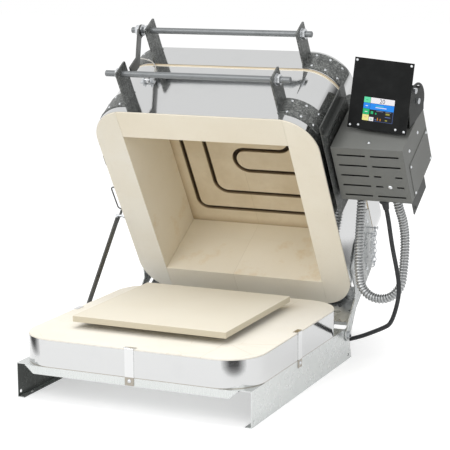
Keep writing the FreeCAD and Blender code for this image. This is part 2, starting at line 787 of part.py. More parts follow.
def strut_pin():
    """The stud on the ring that stands in the strut's notch."""
    start = shell_point(-SKIN, PIN_OUT, PIN_DEPTH)
    end = shell_point(STRUT_X - 1.5 * STRUT_T, PIN_OUT, PIN_DEPTH)
    collar = washer(start, Vector(-1, 0, 0), PIN_COLLAR, PIN_D, PIN_D / 1.5)
    return rod(start, end, PIN_D).fuse(collar)


# Lid

def element_path():
    """Straight runs and corner radii of the roof element: (x, out, corner radius)."""
    return [(182, -104, 0), (-156, -104, 22), (-156, -391, 22), (154, -391, 24.5), (154, -341, 24.5),
            (-101, -341, 28), (-101, -154, 28), (102, -154, 31.5), (102, -218, 31.5), (-37.5, -218, 29),
            (-37.5, -277, 29), (182, -277, 0)]


def tail_outs():
    """Where the element's two ends leave, as distances out."""
    return (element_path()[0][1], element_path()[-1][1])


def rounded_path(nodes, z):
    """Lines and arcs through the corners, each arc with its own radius."""
    edges = []
    spots = [(Vector(x, FRONT_Y - out, z), radius) for x, out, radius in nodes]
    here = spots[0][0]
    for (before, _), (corner, radius), (after, _) in zip(spots, spots[1:], spots[2:]):
        come = corner.sub(before).normalize()
        leave = after.sub(corner).normalize()
        reach = radius * math.tan(come.getAngle(leave) / 2)
        first = corner - come * reach
        last = corner + leave * reach
        inward = leave.sub(come).normalize()
        middle = corner + inward * (math.hypot(radius, reach) - radius)
        if first.sub(here).Length > 0.01:
            edges.append(Part.LineSegment(here, first).toShape())
        edges.append(Part.Arc(first, middle, last).toShape())
        here = last
    edges.append(Part.LineSegment(here, spots[-1][0]).toShape())
    return Part.Wire(edges)


def groove_cutter():
    """The element's groove as one swept channel, open to the chamber."""
    z = RIM_Z + LID_D
    path = rounded_path(element_path(), z)
    start = path.Edges[0].Vertexes[0].Point
    half = GROOVE_W / 2
    corners = [Vector(start.x, start.y - half, z - 1), Vector(start.x, start.y + half, z - 1),
               Vector(start.x, start.y + half, z + GROOVE_DEPTH),
               Vector(start.x, start.y - half, z + GROOVE_DEPTH)]
    section = Part.makePolygon(corners + corners[:1])
    return path.makePipeShell([section], True, False)


def heating_element():
    """The coil's outer shape lying in its groove."""
    z = RIM_Z + LID_D + GROOVE_DEPTH - COIL_D / 2
    path = rounded_path(element_path(), z)
    start = path.Edges[0].Vertexes[0].Point
    section = Part.Wire(Part.makeCircle(COIL_D / 2, start, Vector(-1, 0, 0)))
    return path.makePipeShell([section], True, False)


def lid_terminal_cover():
    """Sheet cover over the element's ends on the lid's right side."""
    cover = shell_block(SKIN, SKIN + COVER_OUT, COVER_LOW, COVER_HIGH, COVER_D0, COVER_D1)
    inside = shell_block(SKIN - 1, SKIN + COVER_OUT - BOX_T, COVER_LOW + BOX_T, COVER_HIGH - BOX_T,
                         COVER_D0 + BOX_T, COVER_D1 - BOX_T)
    hole = rod(shell_point(TERMINAL_X, TERMINAL_OUT, COVER_D0 - 2),
               shell_point(TERMINAL_X, TERMINAL_OUT, COVER_D0 + 2 * BOX_T), FITTING_HOLE - 2)
    return cover.cut(inside).cut(hole)


def lid_hinge(sign_x, upper):
    """One leaf of a rear hinge: the lower leaf has the outer knuckles and the upper the middle one."""
    axis_out = -OUTLINE - BAND_T - HINGE_BACK
    axis_d = RING_H + SEAM_GAP / 2
    back = -OUTLINE - BAND_T
    third = HINGE_W / 3
    knuckles = ((1, 2),) if upper else ((0, 1), (2, 3))
    pieces = []
    left = sign_x * HINGE_X - HINGE_W / 2
    near = HINGE_KNUCKLE / 2 + 2 * HINGE_LEAF - 1
    far = near + HINGE_LEAF_H
    d0, d1 = (axis_d + near, axis_d + far) if upper else (axis_d - far, axis_d - near)
    leaf = shell_block(left, left + HINGE_W, back - HINGE_LEAF, back, d0, d1)
    for a, b in knuckles:
        x0 = left + third * a + (HINGE_END if a else 0)
        x1 = left + third * b - (HINGE_END if b < 3 else 0)
        barrel = rod(shell_point(x0, axis_out, axis_d), shell_point(x1, axis_out, axis_d), HINGE_KNUCKLE)
        way = 1 if upper else -1
        web_d0, web_d1 = sorted((axis_d, axis_d + way * (near + 1)))
        web = shell_block(x0, x1, axis_out - HINGE_KNUCKLE / 2, axis_out - HINGE_KNUCKLE / 2 + HINGE_LEAF,
                          web_d0, web_d1)
        foot_d0, foot_d1 = sorted((axis_d + way * (near - 1), axis_d + way * (near + 1)))
        foot = shell_block(x0, x1, axis_out - HINGE_KNUCKLE / 2, back, foot_d0, foot_d1)
        pieces += [barrel, web, foot]
    leaf = leaf.fuse(pieces).removeSplitter()
    clear = PIVOT_CLEAR if upper else 0
    bore = rod(shell_point(left - 1, axis_out, axis_d), shell_point(left + HINGE_W + 1, axis_out, axis_d),
               HINGE_PIN + 2 * clear)
    return leaf.cut(bore)


def lid_hinge_pin(sign_x):
    """The pin through one rear hinge."""
    axis_out = -OUTLINE - BAND_T - HINGE_BACK
    axis_d = RING_H + SEAM_GAP / 2
    left = sign_x * HINGE_X - HINGE_W / 2
    return rod(shell_point(left - 1.5, axis_out, axis_d), shell_point(left + HINGE_W + 1.5, axis_out, axis_d),
               HINGE_PIN)


def build_lid():
    z0 = RIM_Z + LID_D
    slab = rounded_square(HALF, CORNER_R, z0, z0 + ROOF_T).cut(groove_cutter())
    depth = LID_D + GROOVE_DEPTH - COIL_D / 2
    tail_x = element_path()[0][0] - 2
    for out in tail_outs():
        slab = slab.cut(rod(shell_point(tail_x, out, depth), shell_point(HALF + 2, out, depth), TAIL_HOLE))
    save_open("roof_slab", slab)
    save_open("heating_element", heating_element())
    band = sleeve(HALF, CORNER_R, BAND_T, z0 + SEAM_PROUD, z0 + ROOF_T)
    for out in tail_outs():
        hole = rod(shell_point(tail_x, out, depth), shell_point(SKIN + 2, out, depth), TAIL_HOLE + 1)
        band = band.cut(hole)
    save_open("lid_band", band)
    wrap = corner_wrap(LID_ARM_D)
    save_open("lid_corner_plates", wrap, mirrored(wrap))
    rivets = wrap_rivets(LID_ARM_D)
    save_open("lid_rivets", *(rivets + [mirrored(rivet) for rivet in rivets]))
    save_open("lid_handle_rod", handle_rod(LID_ARM_D, LID_ROD_X))
    save_open("lid_rod_nuts", *(rod_nuts(LID_ARM_D) + keeper_nut()))
    save_open("lid_terminal_cover", lid_terminal_cover())
    save_open("element_terminals", *element_terminals())
    save_open("lid_hinge_upper", lid_hinge(-1, True), lid_hinge(1, True))
    save_open("lid_hinge_lower", lid_hinge(-1, False), lid_hinge(1, False))
    save_open("lid_hinge_pins", lid_hinge_pin(-1), lid_hinge_pin(1))


def element_terminals():
    """The two tails through the brick, each with a ceramic bead and a clamp outside."""
    pieces = []
    depth = LID_D + GROOVE_DEPTH - COIL_D / 2
    end = element_path()[0][0]
    for out in tail_outs():
        tail = rod(shell_point(end, out, depth), shell_point(SKIN + 20, out, depth), TAIL_D)
        bead = washer(shell_point(HALF - 6, out, depth), X_AXIS, TAIL_HOLE, TAIL_D, 6.0 + BAND_T)
        clamp = shell_block(SKIN + 8, SKIN + 18, out - 3.5, out + 3.5, depth - 1.2, depth + 9)
        pieces += [tail.fuse(clamp), bead]
    return pieces


# Control box

def box_chassis():
    """Left, back and bottom walls of the control box."""
    right = BOX_X + BOX_W - BOX_T
    left = shell_block(BOX_X, BOX_X + BOX_T, BOX_LOW_OUT, BOX_TOP_OUT - BOX_T,
                       BOX_FRONT_D + BOX_T, BOX_BACK_D)
    back = shell_block(BOX_X, right, BOX_LOW_OUT, BOX_TOP_OUT - BOX_T, BOX_BACK_D - BOX_T, BOX_BACK_D)
    low = shell_block(BOX_X, right, BOX_LOW_OUT, BOX_LOW_OUT + BOX_T, BOX_FRONT_D + BOX_T, BOX_BACK_D)
    chassis = left.fuse([back, low]).removeSplitter()
    cord = rod(shell_point(GLAND_X, BOX_LOW_OUT - 2, GLAND_DEPTH),
               shell_point(GLAND_X, BOX_LOW_OUT + 4, GLAND_DEPTH), GLAND_HOLE)
    conduit = rod(shell_point(FITTING_X, BOX_LOW_OUT - 2, FITTING_DEPTH),
                  shell_point(FITTING_X, BOX_LOW_OUT + 4, FITTING_DEPTH), FITTING_HOLE)
    return chassis.cut(cord).cut(conduit)


def box_cover():
    """Louvred front, top and right walls of the control box."""
    right = BOX_X + BOX_W
    front = shell_block(BOX_X, right, BOX_LOW_OUT, BOX_TOP_OUT, BOX_FRONT_D, BOX_FRONT_D + BOX_T)
    top = shell_block(BOX_X, right, BOX_TOP_OUT - BOX_T, BOX_TOP_OUT, BOX_FRONT_D, BOX_BACK_D)
    side = shell_block(right - BOX_T, right, BOX_LOW_OUT, BOX_TOP_OUT, BOX_FRONT_D, BOX_BACK_D)
    cover = front.fuse([top, side]).removeSplitter()
    return cover.cut(Part.makeCompound(louvre_slots()))


def slot_columns():
    """Left edges of the two columns of slots."""
    first = BOX_X + (BOX_W - 2 * SLOT_L - SLOT_GAP) / 2
    return first, first + SLOT_L + SLOT_GAP


def slot_row(row):
    """The distance out of one row's middle."""
    return BOX_TOP_OUT - SLOT_FIRST - row * SLOT_PITCH


def louvre_slots():
    """Rows of slots in two columns, with two rows of the right column split round a knockout."""
    slots = []
    first, second = slot_columns()
    for row in range(SLOT_ROWS):
        middle = slot_row(row)
        spans = [(first, first + SLOT_L)]
        if row in SPLIT_ROWS:
            spans += [(second, second + SLOT_SHORT), (second + SLOT_L - SLOT_SHORT, second + SLOT_L)]
        else:
            spans.append((second, second + SLOT_L))
        for x0, x1 in spans:
            slots.append(shell_block(x0, x1, middle - SLOT_H / 2, middle + SLOT_H / 2,
                                     BOX_FRONT_D - 1, BOX_FRONT_D + BOX_T + 1))
    return slots


def access_spans():
    """The access plate's reach on the right wall: (lowest, highest out), (least, most depth)."""
    low = BOX_LOW_OUT + ACCESS_IN
    return (low, low + ACCESS_H), (BOX_FRONT_D + ACCESS_FRONT, BOX_BACK_D - ACCESS_BACK)


def access_plate():
    """Screwed plate on the box's right wall."""
    right = BOX_X + BOX_W
    (low, high), (front, back) = access_spans()
    return shell_block(right, right + BOX_T, low, high, front, back)


def box_screws():
    """Pan heads on the top, the front, the right wall and the access plate."""
    right = BOX_X + BOX_W
    (low, high), (front, back) = access_spans()
    top = shell_point(BOX_X + BOX_W / 2, BOX_TOP_OUT, BOX_FRONT_D + ACCESS_FRONT)
    knockout = shell_point(slot_columns()[1] + SLOT_L / 2, slot_row(SPLIT_ROWS[-1]), BOX_FRONT_D)
    heads = [dome(top, Vector(0, -1, 0), BOX_SCREW_D, BOX_SCREW_T),
             dome(knockout, Vector(0, 0, -1), BOX_SCREW_D + 2, BOX_SCREW_T)]
    for depth in (BOX_FRONT_D + SIDE_SCREW_FRONT, BOX_BACK_D - SIDE_SCREW_BACK):
        spot = shell_point(right, BOX_TOP_OUT - SIDE_SCREW_DROP, depth)
        heads.append(dome(spot, X_AXIS, BOX_SCREW_D, BOX_SCREW_T))
    for out in (low + ACCESS_SCREW_IN, high - ACCESS_SCREW_IN):
        for depth in (front + ACCESS_SCREW_IN, back - ACCESS_SCREW_IN):
            heads.append(dome(shell_point(right + BOX_T, out, depth), X_AXIS, BOX_SCREW_D - 1, BOX_SCREW_T))
    return heads


def box_mounts():
    """Tubes that stand the box off the band, screwed through the shield."""
    tubes = []
    for out, depth in STANDOFFS:
        tubes.append(rod(shell_point(SKIN, out, depth), shell_point(BOX_X, out, depth), STANDOFF_D))
    return tubes


def heat_shield():
    """Sheet between the ring's band and the box."""
    x = SKIN + SHIELD_GAP
    sheet = shell_block(x, x + SHIELD_T, SHIELD_LOW, SHIELD_HIGH, SHIELD_D0, RING_H - SHIELD_SHORT)
    for tube_solid in box_mounts():
        sheet = sheet.cut(tube_solid)
    return sheet


def side_rails():
    """An angle and a flat bar screwed to the shield above the box, with their screws."""
    face = SKIN + SHIELD_GAP + SHIELD_T
    low = SHIELD_HIGH - RAIL_H
    foot = shell_block(face, face + RAIL_T, low, SHIELD_HIGH, SHIELD_D0, RAIL_D1)
    leg = shell_block(face, face + RAIL_LEG, low, low + RAIL_T, SHIELD_D0, RAIL_D1)
    bar = shell_block(face, face + RAIL_T, BAR_OUT, BAR_OUT + BAR_H, BAR_D0, BAR_D1)
    pieces = [foot.fuse(leg).removeSplitter(), bar]
    for out, depth in RAIL_SCREWS:
        pieces.append(dome(shell_point(face + RAIL_T, out, depth), X_AXIS, BOX_SCREW_D, BOX_SCREW_T))
    return pieces


def box_foot():
    """Black angle under the box's lower right corner with its screw."""
    right = BOX_X + BOX_W
    wall = shell_block(right - FOOT_W, right, BOX_LOW_OUT - RAIL_T, BOX_LOW_OUT, FOOT_D0, FOOT_D1)
    drop = shell_block(right - RAIL_T, right, BOX_LOW_OUT - FOOT_H, BOX_LOW_OUT, FOOT_D0, FOOT_D1)
    spot = shell_point(right, BOX_LOW_OUT - FOOT_H + 10, FOOT_D0 + 10)
    return [wall.fuse(drop).removeSplitter(), dome(spot, X_AXIS, BOX_SCREW_D, BOX_SCREW_T)]


def box_electrics():
    """Two relays, a transformer and a terminal strip in the box, seated on its back wall."""
    back = BOX_BACK_D - BOX_T
    left = BOX_X + BOX_T + ELECTRICS_GAP
    right = BOX_X + BOX_W - BOX_T - ELECTRICS_GAP
    unit = (right - left - 2 * ELECTRICS_GAP) / 3
    high = BOX_TOP_OUT - ELECTRICS_GAP
    low = high - ELECTRICS_H
    pieces = []
    for index in range(3):
        x = left + index * (unit + ELECTRICS_GAP)
        body = shell_block(x, x + unit, low, high, back - ELECTRICS_T, back)
        if index == 2:
            body = body.fuse(shell_block(x + 6, x + unit - 6, low + 8, high - 8,
                                         back - 1.3 * ELECTRICS_T, back - ELECTRICS_T))
        pieces.append(body)
    base = BOX_LOW_OUT + BOX_T + ELECTRICS_GAP + 8
    strip = shell_block(left, right, base, base + STRIP_H, back - STRIP_H, back)
    way = (right - left) / STRIP_WAYS
    for step in range(STRIP_WAYS):
        x = left + step * way + 3
        strip = strip.cut(shell_block(x, x + way - 6, base + 5, base + STRIP_H - 5,
                                      back - STRIP_H - 1, back - STRIP_H / 2))
    pieces.append(strip)
    return pieces


def cord_gland():
    """Flange and tapered relief where the power cord leaves the box."""
    start = shell_point(GLAND_X, BOX_LOW_OUT, GLAND_DEPTH)
    flange = Part.makeCylinder(GLAND_D / 2, GLAND_FLANGE, start, Y_AXIS)
    taper = Part.makeCone(GLAND_D / 2 - 3, CORD_D / 2 + 1.5, GLAND_L - GLAND_FLANGE,
                          start + Y_AXIS * GLAND_FLANGE, Y_AXIS)
    return flange.fuse(taper).removeSplitter()


def box_fitting():
    """Screw connector with its ring nut where the conduit leaves the box."""
    start = shell_point(FITTING_X, BOX_LOW_OUT, FITTING_DEPTH)
    body = Part.makeCylinder(FITTING_D / 2, FITTING_L, start, Y_AXIS)
    ring = washer(start + Y_AXIS * 3, Y_AXIS, FITTING_D + 4, FITTING_D - 1, 4.0)
    return body.fuse(ring)


def lid_fitting():
    """Screw connector that carries the conduit's end under the lid's terminal cover."""
    start = shell_point(TERMINAL_X, TERMINAL_OUT, COVER_D0)
    return Part.makeCylinder(FITTING_D / 2 - 1, FITTING_L, start, Z_AXIS * -1)


def opened_point(point):
    """A point of the closed shell, tipped to the open position."""
    turn = math.radians(OPEN_ANGLE)
    y = point.y - PIVOT.y
    z = point.z - PIVOT.z
    return Vector(point.x, PIVOT.y + y * math.cos(turn) + z * math.sin(turn),
                  PIVOT.z - y * math.sin(turn) + z * math.cos(turn))


def conduit():
    """The flexible conduit from the box's fitting to the one on the lid."""
    start = opened_point(shell_point(FITTING_X, BOX_LOW_OUT - FITTING_L, FITTING_DEPTH))
    last = opened_point(shell_point(TERMINAL_X, TERMINAL_OUT, COVER_D0 - FITTING_L))
    along = opened_point(shell_point(TERMINAL_X, TERMINAL_OUT, COVER_D0 - FITTING_L - 22))
    route = [start, start + (opened_point(Y_AXIS) - opened_point(Vector(0, 0, 0))) * 16]
    route += [Vector(*spot) for spot in CONDUIT_LOOP] + [along, last]
    return tube(route, CONDUIT_D, "conduit")


def cord_coil():
    """The put-away turns as one flat ring, with the stubs where the cord enters and leaves."""
    height = COIL_LAYERS * CORD_D
    ring = Part.makeCylinder(COIL_R + CORD_D, height, Vector(COIL_X, COIL_Y, 0))
    ring = ring.cut(Part.makeCylinder(COIL_R - CORD_D, height + 2, Vector(COIL_X, COIL_Y, -1)))
    entry = rod(Vector(COIL_X + COIL_STUB, COIL_Y - COIL_R, CORD_D / 2), Vector(*CORD_LOWER[-1]), CORD_D)
    leave = rod(Vector(COIL_X - COIL_STUB, COIL_Y + COIL_R, 1.5 * CORD_D), plug_start(), CORD_D)
    return ring.fuse([entry, leave])


def plug_start():
    """Where the cord meets the plug."""
    return Vector(COIL_X - PLUG_IN, COIL_Y + COIL_R, 1.5 * CORD_D)


def cord_plug():
    """Moulded plug with a tapered neck and three pins, lying on the floor behind the stand."""
    start = plug_start()
    back = Vector(-1, 0, 0)
    neck = Part.makeCone(CORD_D / 2 + 1.2, PLUG_D / 3, PLUG_NECK, start, back)
    body = Part.makeCylinder(PLUG_D / 2, PLUG_L, start + back * PLUG_NECK, back)
    face = start + back * (PLUG_NECK + PLUG_L)
    pieces = [neck.fuse(body).removeSplitter()]
    for dy, dz in ((-6.3, -3), (6.3, -3)):
        pieces.append(block(face.x - 18, face.x, face.y + dy - 0.8, face.y + dy + 0.8,
                            face.z + dz - 3.2, face.z + dz + 3.2))
    pieces.append(rod(face + Vector(0, 0, 7), face + Vector(-21, 0, 7), 4.8))
    return pieces


def chain_link(centre, along, flat):
    """One stadium-shaped wire link, bent in short straight steps from wire of a few flats."""
    across = along.cross(flat).normalize()
    reach = (LINK_L - LINK_W) / 2
    radius = (LINK_W - LINK_WIRE) / 2
    corners = []
    for end in (1, -1):
        for step in range(LINK_BENDS + 1):
            angle = math.pi * step / LINK_BENDS + (0 if end > 0 else math.pi)
            corners.append(centre + across * (radius * math.cos(angle))
                           + along * (end * reach + radius * math.sin(angle)))
    rings = []
    for before, corner, after in zip(corners[-1:] + corners, corners, corners[1:] + corners[:1]):
        come = corner.sub(before).normalize()
        leave = after.sub(corner).normalize()
        mitre = 1 / math.cos(come.getAngle(leave) / 2)
        outward = come.add(leave).cross(flat).normalize()
        ring = []
        for side in range(LINK_SIDES):
            turn = 2 * math.pi * (side + 0.5) / LINK_SIDES
            ring.append(corner + outward * (math.cos(turn) * LINK_WIRE / 2 * mitre)
                        + flat * (math.sin(turn) * LINK_WIRE / 2))
        rings.append(ring)
    faces = []
    for ring, after in zip(rings, rings[1:] + rings[:1]):
        for a, b, c, d in zip(ring, ring[1:] + ring[:1], after[1:] + after[:1], after):
            faces.append(Part.Face(Part.makePolygon([a, b, c, d, a])))
    return Part.makeSolid(Part.makeShell(faces))


def chain():
    """Two hanging strands of links that meet at the bottom."""
    ends = [opened_point(shell_point(CHAIN_X, out, depth)) for out, depth in CHAIN_PINS]
    pitch = LINK_L - 2 * LINK_WIRE - LINK_SLACK
    links = []
    for index, end in enumerate(ends):
        top = end - Z_AXIS * (LINK_L / 2 - LINK_WIRE - CHAIN_PIN_D / 2 - LINK_SLACK)
        run = CHAIN_LOW + Vector(0, (index - 0.5) * LINK_W * 1.1, 0) - top
        along = Vector(run).normalize()
        count = int(run.Length / pitch) + 1
        for step in range(count):
            flat = along.cross(X_AXIS).normalize() if step % 2 else X_AXIS
            links.append(chain_link(top + along * (step * pitch), along, flat))
    return links


def chain_pins():
    """Shouldered pins on the arm that hold the chain's two ends."""
    pins = []
    for out, depth in CHAIN_PINS:
        start = shell_point(ARM_OUTER, out, depth)
        tip = shell_point(CHAIN_X + LINK_W / 2 + 1, out, depth)
        head = Part.makeCylinder(CHAIN_PIN_HEAD / 2, CHAIN_PIN_D / 2, tip, X_AXIS)
        pins.append(rod(start, tip, CHAIN_PIN_D).fuse(head))
    return pins


# Controller

def frame_matrix(origin, x_dir, y_dir, z_dir):
    """The matrix that carries a locally drawn piece to its place."""
    return Matrix(x_dir.x, y_dir.x, z_dir.x, origin.x, x_dir.y, y_dir.y, z_dir.y, origin.y,
                  x_dir.z, y_dir.z, z_dir.z, origin.z, 0, 0, 0, 1)


def bracket_frame():
    """Local frame on the box top: x across, y away from the box, z to the user."""
    swivel = math.radians(SWIVEL)
    across = Vector(math.cos(swivel), 0, -math.sin(swivel))
    away = Vector(0, -1, 0)
    return shell_point(FACE_X, BOX_TOP_OUT, FACE_D), across, away, across.cross(away)


def face_frame():
    """Local frame on the faceplate's lower edge, leaning back by the tilt."""
    origin, across, away, user = bracket_frame()
    tilt = math.radians(TILT)
    up = away * math.cos(tilt) - user * math.sin(tilt)
    return origin + away * FACE_LIFT, across, up, across.cross(up)


def on_bracket(shape):
    return shape.transformShape(frame_matrix(*bracket_frame()), True)


def on_face(shape):
    return shape.transformShape(frame_matrix(*face_frame()), True)


def tilt_pivot():
    """The tilt axis in the bracket's frame: (y, z)."""
    tilt = math.radians(TILT)
    return (FACE_LIFT + TILT_UP * math.cos(tilt) - TILT_IN * math.sin(tilt),
            -TILT_UP * math.sin(tilt) - TILT_IN * math.cos(tilt))


def slide_spot(angle, radius=SLIDE_R):
    """A point of the arc slot in the bracket's frame: (y, z)."""
    y, z = tilt_pivot()
    turn = math.radians(angle)
    return y + radius * math.cos(turn), z - radius * math.sin(turn)


def controller_bracket():
    """Yoke on the box top: a base and two round ears, each with a pivot hole and an arc slot."""
    inner = CASE_W / 2 + YOKE_CLEAR
    outer = inner + YOKE_T
    y, z = tilt_pivot()
    outline = [(0, YOKE_FRONT), (y, z + YOKE_R), (y, z - YOKE_R), (0, YOKE_BACK)]
    bracket = block(-outer, outer, 0, YOKE_T, YOKE_BACK, YOKE_FRONT)
    for x in (-outer, inner):
        corners = [Vector(x, py, pz) for py, pz in outline]
        ear = Part.Face(Part.makePolygon(corners + corners[:1])).extrude(Vector(YOKE_T, 0, 0))
        ear = ear.fuse(Part.makeCylinder(YOKE_R, YOKE_T, Vector(x, y, z), X_AXIS)).removeSplitter()
        ear = ear.cut(Part.makeCylinder(TILT_PIN / 2 + PIVOT_CLEAR, YOKE_T + 2, Vector(x - 1, y, z), X_AXIS))
        bracket = bracket.fuse(ear.cut(arc_slot(x - 1, YOKE_T + 2)))
    return bracket.removeSplitter()


def arc_slot(x, depth):
    """The cutter for one arc slot."""
    half = SLIDE_PIN / 2 + PIVOT_CLEAR
    middle = (SLIDE_LOW + SLIDE_HIGH) / 2
    spots = []
    for radius in (SLIDE_R + half, SLIDE_R - half):
        spots.append([Vector(x, *slide_spot(angle, radius)) for angle in (SLIDE_LOW, middle, SLIDE_HIGH)])
    (a, b, c), (d, e, f) = spots
    low_cap = Vector(x, *slide_spot(SLIDE_LOW - math.degrees(half / SLIDE_R)))
    high_cap = Vector(x, *slide_spot(SLIDE_HIGH + math.degrees(half / SLIDE_R)))
    edges = [Part.Arc(a, b, c).toShape(), Part.Arc(c, high_cap, f).toShape(),
             Part.Arc(f, e, d).toShape(), Part.Arc(d, low_cap, a).toShape()]
    return Part.Face(Part.Wire(edges)).extrude(Vector(depth, 0, 0))


def controller_case():
    """Shallow case behind the faceplate, open towards it."""
    half = CASE_W / 2
    case = block(-half, half, CASE_LOW, CASE_HIGH, -FACE_T - CASE_DEPTH, -FACE_T)
    hollow = block(-half + CASE_WALL, half - CASE_WALL, CASE_LOW + CASE_WALL, CASE_HIGH - CASE_WALL,
                   -FACE_T - CASE_DEPTH + CASE_WALL, -FACE_T + 1)
    return case.cut(hollow)


def controller_board():
    """Circuit board on the case's floor behind the screen."""
    half = CASE_W / 2 - CASE_WALL - 3
    back = -FACE_T - CASE_DEPTH + CASE_WALL
    lift = back + BOARD_LIFT
    board = block(-half, half, CASE_LOW + 6, CASE_HIGH - 6, lift, lift + BOARD_T)
    for x in (6 - half, half - 6):
        for y in (CASE_LOW + 12, CASE_HIGH - 12):
            board = board.fuse(rod(Vector(x, y, back), Vector(x, y, lift), BOARD_LIFT))
    return board


def controller_plate():
    """Faceplate with its screen opening."""
    plate = block(-FACE_W / 2, FACE_W / 2, 0, FACE_H, -FACE_T, 0)
    return plate.cut(screen_block(-FACE_T - 1, 1))


def controller_screen():
    """Glass of the screen, set into the faceplate."""
    return screen_block(-SCREEN_SUNK - SCREEN_T, -SCREEN_SUNK)


def screen_block(z0, z1):
    """The screen's rectangle between two levels of the face."""
    left = -SCREEN_W / 2 - SCREEN_LEFT
    return block(left, left + SCREEN_W, SCREEN_UP, SCREEN_UP + SCREEN_H, z0, z1)


def controller_screws():
    """Faceplate screws."""
    side = FACE_W / 2 - FACE_SCREW_IN
    low = FACE_SCREW_IN
    high = FACE_H - FACE_SCREW_IN
    near = side - 18
    spots = [(-side, low), (side, low), (-side, high), (side, high), (-near, low + 2), (near, low + 2)]
    return [dome(Vector(x, y, 0), Z_AXIS, RIVET_D, 2.0) for x, y in spots]


def tilt_screws():
    """Pivot screws and locking thumb screws on both sides of the case, in the bracket's frame."""
    pieces = []
    half = CASE_W / 2
    for sign in (-1, 1):
        for spot, pin in ((tilt_pivot(), TILT_PIN), (slide_spot(SLIDE_REST), SLIDE_PIN)):
            y, z = spot
            start = Vector(sign * half, y, z)
            outside = Vector(sign * (half + YOKE_CLEAR + YOKE_T + 0.3), y, z)
            axis = Vector(sign, 0, 0)
            knob = Part.makeCylinder(KNOB_D / 2, KNOB_T, outside, axis)
            pieces.append(rod(start, outside, pin).fuse(knob))
    return pieces


def keeper_strap():
    """Bent flat bar on the lid rod whose end stands just clear of the ring rod."""
    reach = LID_ARM_D - RING_ARM_D - ROD_D / 2 - SIDE_CLEAR
    route = [(STRAP_TOP_X, LID_ARM_D + 12), (STRAP_TOP_X, LID_ARM_D - 14), (STRAP_MID_X, LID_ARM_D - 82),
             (STRAP_LOW_X, LID_ARM_D - 112), (STRAP_LOW_X, LID_ARM_D - reach)]
    half = STRAP_T / 2
    left = [(x - half, depth) for x, depth in route]
    right = [(x + half, depth) for x, depth in route]
    corners = [shell_point(x, ROD_OUT + STRAP_EYE / 2, depth) for x, depth in left + right[::-1]]
    bar = Part.Face(Part.makePolygon(corners + corners[:1])).extrude(Vector(0, STRAP_EYE, 0))
    eye = rod(shell_point(STRAP_TOP_X - half - 1, ROD_OUT, LID_ARM_D),
              shell_point(STRAP_TOP_X + half + 1, ROD_OUT, LID_ARM_D), STRAP_EYE)
    leg = shell_block(STRAP_TOP_X - 20, STRAP_LOW_X + 20, ROD_OUT - STRAP_W / 2, ROD_OUT + STRAP_W / 2,
                      LID_ARM_D - reach - 5, LID_ARM_D)
    bar = bar.common(eye.fuse(leg))
    sweep = rod(shell_point(STRAP_TOP_X - 60, ROD_OUT, LID_ARM_D),
                shell_point(STRAP_LOW_X + 60, ROD_OUT, LID_ARM_D), 2 * reach)
    bar = bar.common(sweep)
    bore = rod(shell_point(STRAP_TOP_X - STRAP_T, ROD_OUT, LID_ARM_D),
               shell_point(STRAP_TOP_X + STRAP_T, ROD_OUT, LID_ARM_D), ROD_D + 2 * PIVOT_CLEAR)
    return bar.cut(bore)


def keeper_nut():
    """Washers on both sides of the strap's eye and a nut outside it."""
    reach = STRAP_T / 2 + STRAP_CLEAR
    face = shell_point(STRAP_TOP_X - reach, ROD_OUT, LID_ARM_D)
    inside = shell_point(STRAP_TOP_X + reach, ROD_OUT, LID_ARM_D)
    axis = Vector(-1, 0, 0)
    return [washer(face, axis, WASHER_D, ROD_D, WASHER_T),
            washer(inside, X_AXIS, WASHER_D, ROD_D, WASHER_T),
            hexagon(face + axis * WASHER_T, axis, NUT_AF, NUT_T, ROD_D)]


# Prop strut

def prop_strut():
    """Flat bar from the stand's stud up to the ring's pin, with a long tine behind the seat."""
    pin = opened_point(shell_point(0, PIN_OUT, PIN_DEPTH))
    foot = Vector(0, STRUT_Y, STRUT_Z)
    along = pin.sub(foot)
    length = along.Length
    along.normalize()
    front = Vector(0, -along.z, along.y)
    half = STRUT_W / 2
    seat = PIN_D / 2 + PIN_CLEAR

    def spot(s, n):
        return Vector(STRUT_X, foot.y + along.y * s + front.y * n, foot.z + along.z * s + front.z * n)

    edges = [Part.LineSegment(spot(0, half), spot(length - seat - 4.4, half)).toShape(),
             Part.LineSegment(spot(length - seat - 4.4, half), spot(length - seat, 0)).toShape(),
             Part.Arc(spot(length - seat, 0), spot(length - seat * 0.7071, -seat * 0.7071),
                      spot(length, -seat)).toShape(),
             Part.LineSegment(spot(length, -seat), spot(length + TINE, -seat)).toShape(),
             Part.LineSegment(spot(length + TINE, -seat), spot(length + TINE - 3, -half - 2)).toShape(),
             Part.LineSegment(spot(length + TINE - 3, -half - 2), spot(length - 20, -half)).toShape(),
             Part.LineSegment(spot(length - 20, -half), spot(0, -half)).toShape(),
             Part.Arc(spot(0, -half), spot(-half, 0), spot(0, half)).toShape()]
    bar = Part.Face(Part.Wire(edges)).extrude(Vector(STRUT_T, 0, 0))
    bore = Part.makeCylinder(STUD_D / 2 + PIVOT_CLEAR, 20, Vector(STRUT_X - 5, foot.y, foot.z), X_AXIS)
    return bar.cut(bore)


def build_box():
    save_open("box_chassis", box_chassis())
    save_open("box_cover", box_cover())
    save_open("box_access_plate", access_plate())
    save_open("box_screws", *box_screws())
    save_open("heat_shield", heat_shield())
    save_open("box_mounts", *(box_mounts() + side_rails() + box_foot()))
    save_open("box_electrics", *box_electrics())
    save_open("cord_gland", cord_gland())
    save_open("conduit_fitting", box_fitting())
    save_open("lid_conduit_fitting", lid_fitting())
    save("conduit", conduit())
    save("safety_chain", *chain())


